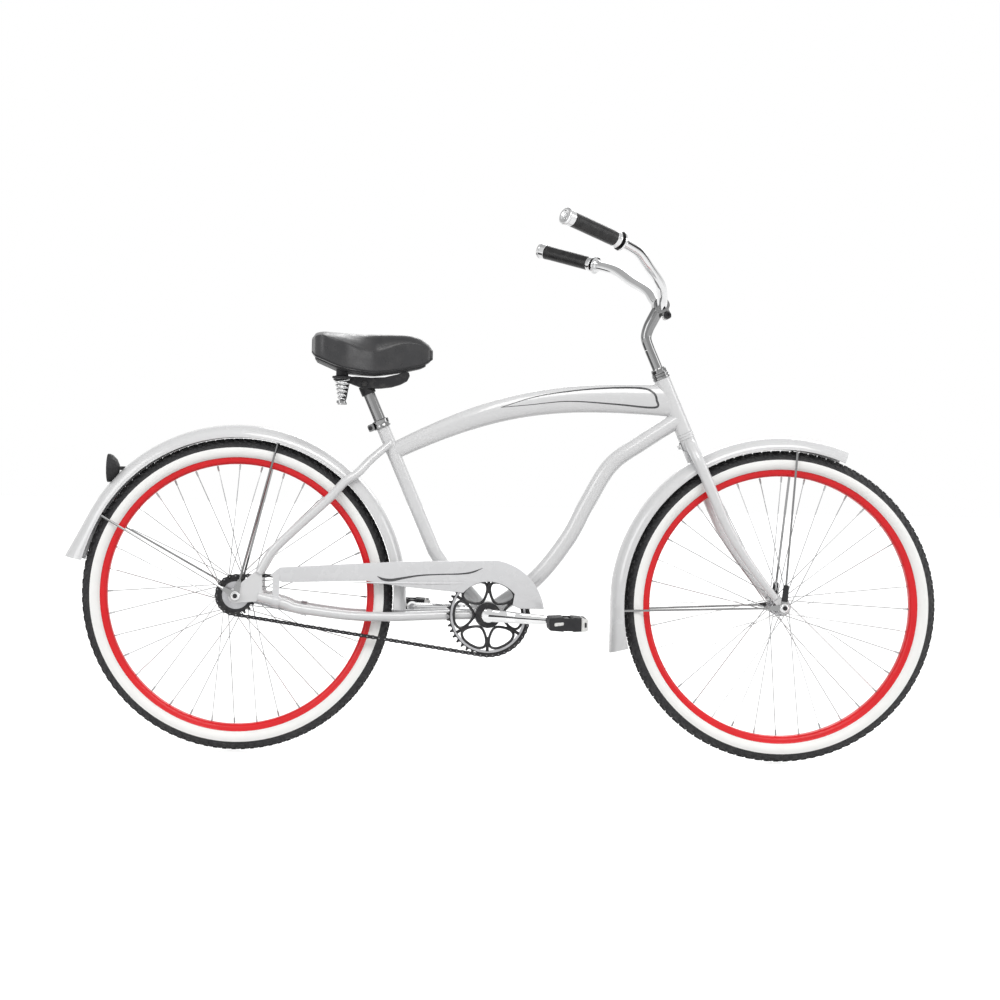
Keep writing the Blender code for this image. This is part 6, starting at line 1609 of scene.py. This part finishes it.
SPRING_X = -48
SPRING_Y = 50
SADDLE_STATIONS = (
    (-112, 62, 95, 60, 86), (-104, 92, 104, 50, 93), (-88, 105, 107, 43, 95),
    (-63, 106, 106, 33, 88), (-42, 99, 105, 27, 81), (-22, 84, 104.5, 24, 74),
    (-2, 66, 104, 22, 67), (18, 50, 105, 21, 66), (40, 41, 105, 23, 73), (66, 34, 105, 27, 83),
    (93, 29, 104, 32, 88), (118, 24, 97, 38, 84), (134, 18, 86, 46, 76), (143, 9, 74, 54, 68))
PAN_EDGE = ((0.9, 0.3), (-0.9, 0.3), (-0.88, 2.2), (-0.8, 3.6), (0.8, 3.6), (0.88, 2.2))
RAIL_STRAP = ((-40, 13), (-18, 14), (12, 12.5), (42, 14), (70, 21), (86, 27), (93, 25), (95, 18),
              (90, 8), (76, 0), (57, -6), (35, -9), (14, -10), (-4, -12), (-12, -7), (-26, -2),
              (-40, 4))
RAIL_TAIL = ((-34, 9, 20), (-38, -8, 25), (-42, -30, 40), (-48, -41, 48))


def saddle_point(x, z, y=0.0):
    return SADDLE_PIVOT + Vector((x, y, z))


def saddle_station(x):
    """Half width, top, bottom and shoulder of the cover at a place along the saddle."""
    last = len(SADDLE_STATIONS) - 1
    k = next(i for i in range(last) if x <= SADDLE_STATIONS[i + 1][0] or i == last - 1)
    around = [SADDLE_STATIONS[min(max(i, 0), last)] for i in range(k - 1, k + 3)]
    share = (x - around[1][0]) / (around[2][0] - around[1][0])
    s2, s3 = share * share, share ** 3
    values = []
    for before, first, second, after in list(zip(*around))[1:]:
        rise, fall = (second - before) / 2, (after - first) / 2
        values.append(first * (2 * s3 - 3 * s2 + 1) + rise * (s3 - 2 * s2 + share)
                      + second * (3 * s2 - 2 * s3) + fall * (s3 - s2))
    return values


def bunched(low, high, steps):
    """Places from low to high that lie closer together towards both."""
    return [low + (high - low) * (0.5 - 0.5 * cos(pi * i / steps)) for i in range(steps + 1)]


def cover_section(x):
    """One side of the cover at a place, from the middle of the top to the middle of the bottom."""
    half, top, bottom, shoulder = saddle_station(x)
    drop = top - shoulder
    dish = 2.5 * max(0.0, 1 - abs(x + 20) / 105)
    knots = ((0, top - dish), (0.2, top - 0.02 * drop), (0.5, top - 0.14 * drop),
             (0.8, top - 0.52 * drop), (0.93, shoulder + 0.18 * drop), (0.985, shoulder),
             (1, shoulder - 0.2 * drop), (1, (shoulder + bottom) / 2), (0.985, bottom + 5),
             (0.95, bottom + 1.2), (0.85, bottom), (0.4, bottom), (0, bottom))
    return smooth_path([Vector((0, share * half, z)) for share, z in knots], 3)


def saddle_cover():
    """The padded cover: two wide wings whose edge falls to the waist, and a long rounded nose."""
    shape = bmesh.new()
    rings = []
    for x in bunched(SADDLE_STATIONS[0][0], SADDLE_STATIONS[-1][0], 72):
        side = cover_section(x)
        around = side + [Vector((0, -point.y, point.z)) for point in side[-2:0:-1]]
        rings.append([saddle_point(x, point.z, point.y) for point in around])
    skin(shape, rings)
    thing = stand_in("saddle_cover", shape, VINYL, "saddle_top", 60)


def saddle_trim():
    """A sewn welt round the cover's lower edge, along both sides."""
    shape = bmesh.new()
    path = []
    for side in (-1, 1):
        row = []
        for x in bunched(SADDLE_STATIONS[0][0] + 2, SADDLE_STATIONS[-1][0] - 1, 48):
            half, _, bottom, _ = saddle_station(x)
            row.append(saddle_point(x, bottom + 3.5, side * half * 0.985))
        path += row if side < 0 else row[::-1]
    pipe(shape, path, 1.3, 8, closed=True)
    piece("saddle_welt", shape, PLASTIC, "saddle_top")


def saddle_pan():
    """The moulded base under the cover, with a seat over each spring."""
    shape = bmesh.new()
    rings = []
    for i in range(41):
        x = -104 + 232 * i / 40
        half, _, bottom, _ = saddle_station(x)
        rings.append([saddle_point(x, bottom - drop, half * share) for share, drop in PAN_EDGE])
    skin(shape, rings)
    seat = [(0, 30), (12, 30), (12, 15), (14, 13.5), (19.5, 12.8), (20, 12), (20, 9), (19.4, 8.3),
            (0, 8.3)]
    for side in (-1, 1):
        lathe(shape, seat, saddle_point(SPRING_X, 0, side * SPRING_Y), Z_AXIS, 32, closed=False)
    stand_in("saddle_pan", shape, PLASTIC, "saddle_top", 40)


def rails():
    """Two deep pressed straps under the saddle, drawn out into the arms that carry the springs."""
    shape = bmesh.new()
    outline = near(SADDLE_PIVOT, RAIL_STRAP)
    for side in (-1, 1):
        plate(shape, outline, SADDLE_PIVOT.y + side * 18.8, 5)
        tail = smooth_path([saddle_point(x, z, side * y) for x, z, y in RAIL_TAIL], 5)
        pipe(shape, tail, 3.5, 14)
        foot = [(0, -38.3), (9.4, -38.3), (10, -38.9), (10, -43.4), (9.4, -44), (0, -44)]
        under = saddle_point(SPRING_X, 0, side * SPRING_Y)
        lathe(shape, foot, under, Z_AXIS, 28, closed=False, index=1)
    cross_rod(shape, saddle_point(80, 14), -18, 18, 3.5, 16)
    stand_in("saddle_rails", shape, [BLACK, SHADE_PAINTED_CHROME], "saddle_base", 40)


def spring(tag, side):
    """A cone-shaped coil, wide at the top."""
    foot, head, turns, steps = -38, 8, 5, 26
    wire = 1.75
    path = []
    for i in range(turns * steps + 1):
        share = i / (turns * steps)
        radius = 6 + 9 * share
        turn = tau * turns * share
        path.append(saddle_point(SPRING_X + radius * cos(turn),
                                 foot + wire + (head - foot - 2 * wire) * share,
                                 side * (SPRING_Y + radius * sin(turn))))
    shape = bmesh.new()
    pipe(shape, path, wire, 12)
    coil = stand_in(f"saddle_spring_{tag}", shape, CHROME, None, 60)
    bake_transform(coil)


def saddle_clamp():
    """The clamp's sleeve on the post and the block that the straps turn on, with its cross bolt."""
    shape = bmesh.new()
    along = (SADDLE_PIVOT - SEAT_FOOT).dot(SEAT_UP)
    sleeve = [(12.8, -24), (14.8, -24), (15.6, -23), (15.6, -4), (12.8, -4)]
    lathe(shape, sleeve, seat_line(along), SEAT_UP, 40)
    cross_rod(shape, SADDLE_PIVOT, -14, 14, 13, 36, 1)
    cross_rod(shape, SADDLE_PIVOT, -29, 29, 4, 20, 0.6)
    for side in (-1, 1):
        cross_rod(shape, SADDLE_PIVOT, side * 23.6, side * 28.3, 7, 6, 0.6)
    stand_in("saddle_clamp", shape, BLACK, "seat_mast", 36)


def saddle():
    saddle_clamp()
    saddle_cover()
    saddle_trim()
    saddle_pan()
    rails()
    for tag, side in SIDES:
        spring(tag, side)


# The solids that are shown as they are

SOLID_FINISHES = (
    (WHITE, ("bottom_bracket_shell", "chainstay_bridge", "seatstay_bridge")),
    (SHADE_PAINTED_CHROME, ("rear_fender_stay_upper", "rear_fender_stay_lower", "front_fender_stay_top",
                   "front_fender_stay_rear")),
    (STEEL, ("bottom_cup_right", "bottom_cup_left", "coaster_brake_arm", "pedal_spindle_right",
             "pedal_spindle_left")),
    (BLACK, ("reflector_bracket",)),
    (PLASTIC, ("rear_reflector",)),
)


def dress_solids():
    """Finishes for the solids that nothing stands in for."""
    for material, names in SOLID_FINISHES:
        for name in names:
            mesh = NODES[name].data
            mesh.materials.clear()
            mesh.materials.append(material)
            mesh.shade_smooth()
            mesh.set_sharp_from_angle(angle=radians(34))


def bicycle():
    wheels()
    fenders()
    fork()
    frame_tubes()
    stem_and_post()
    drive()
    chain()
    bars()
    saddle()
    dress_solids()


camera()
studio()
bicycle()
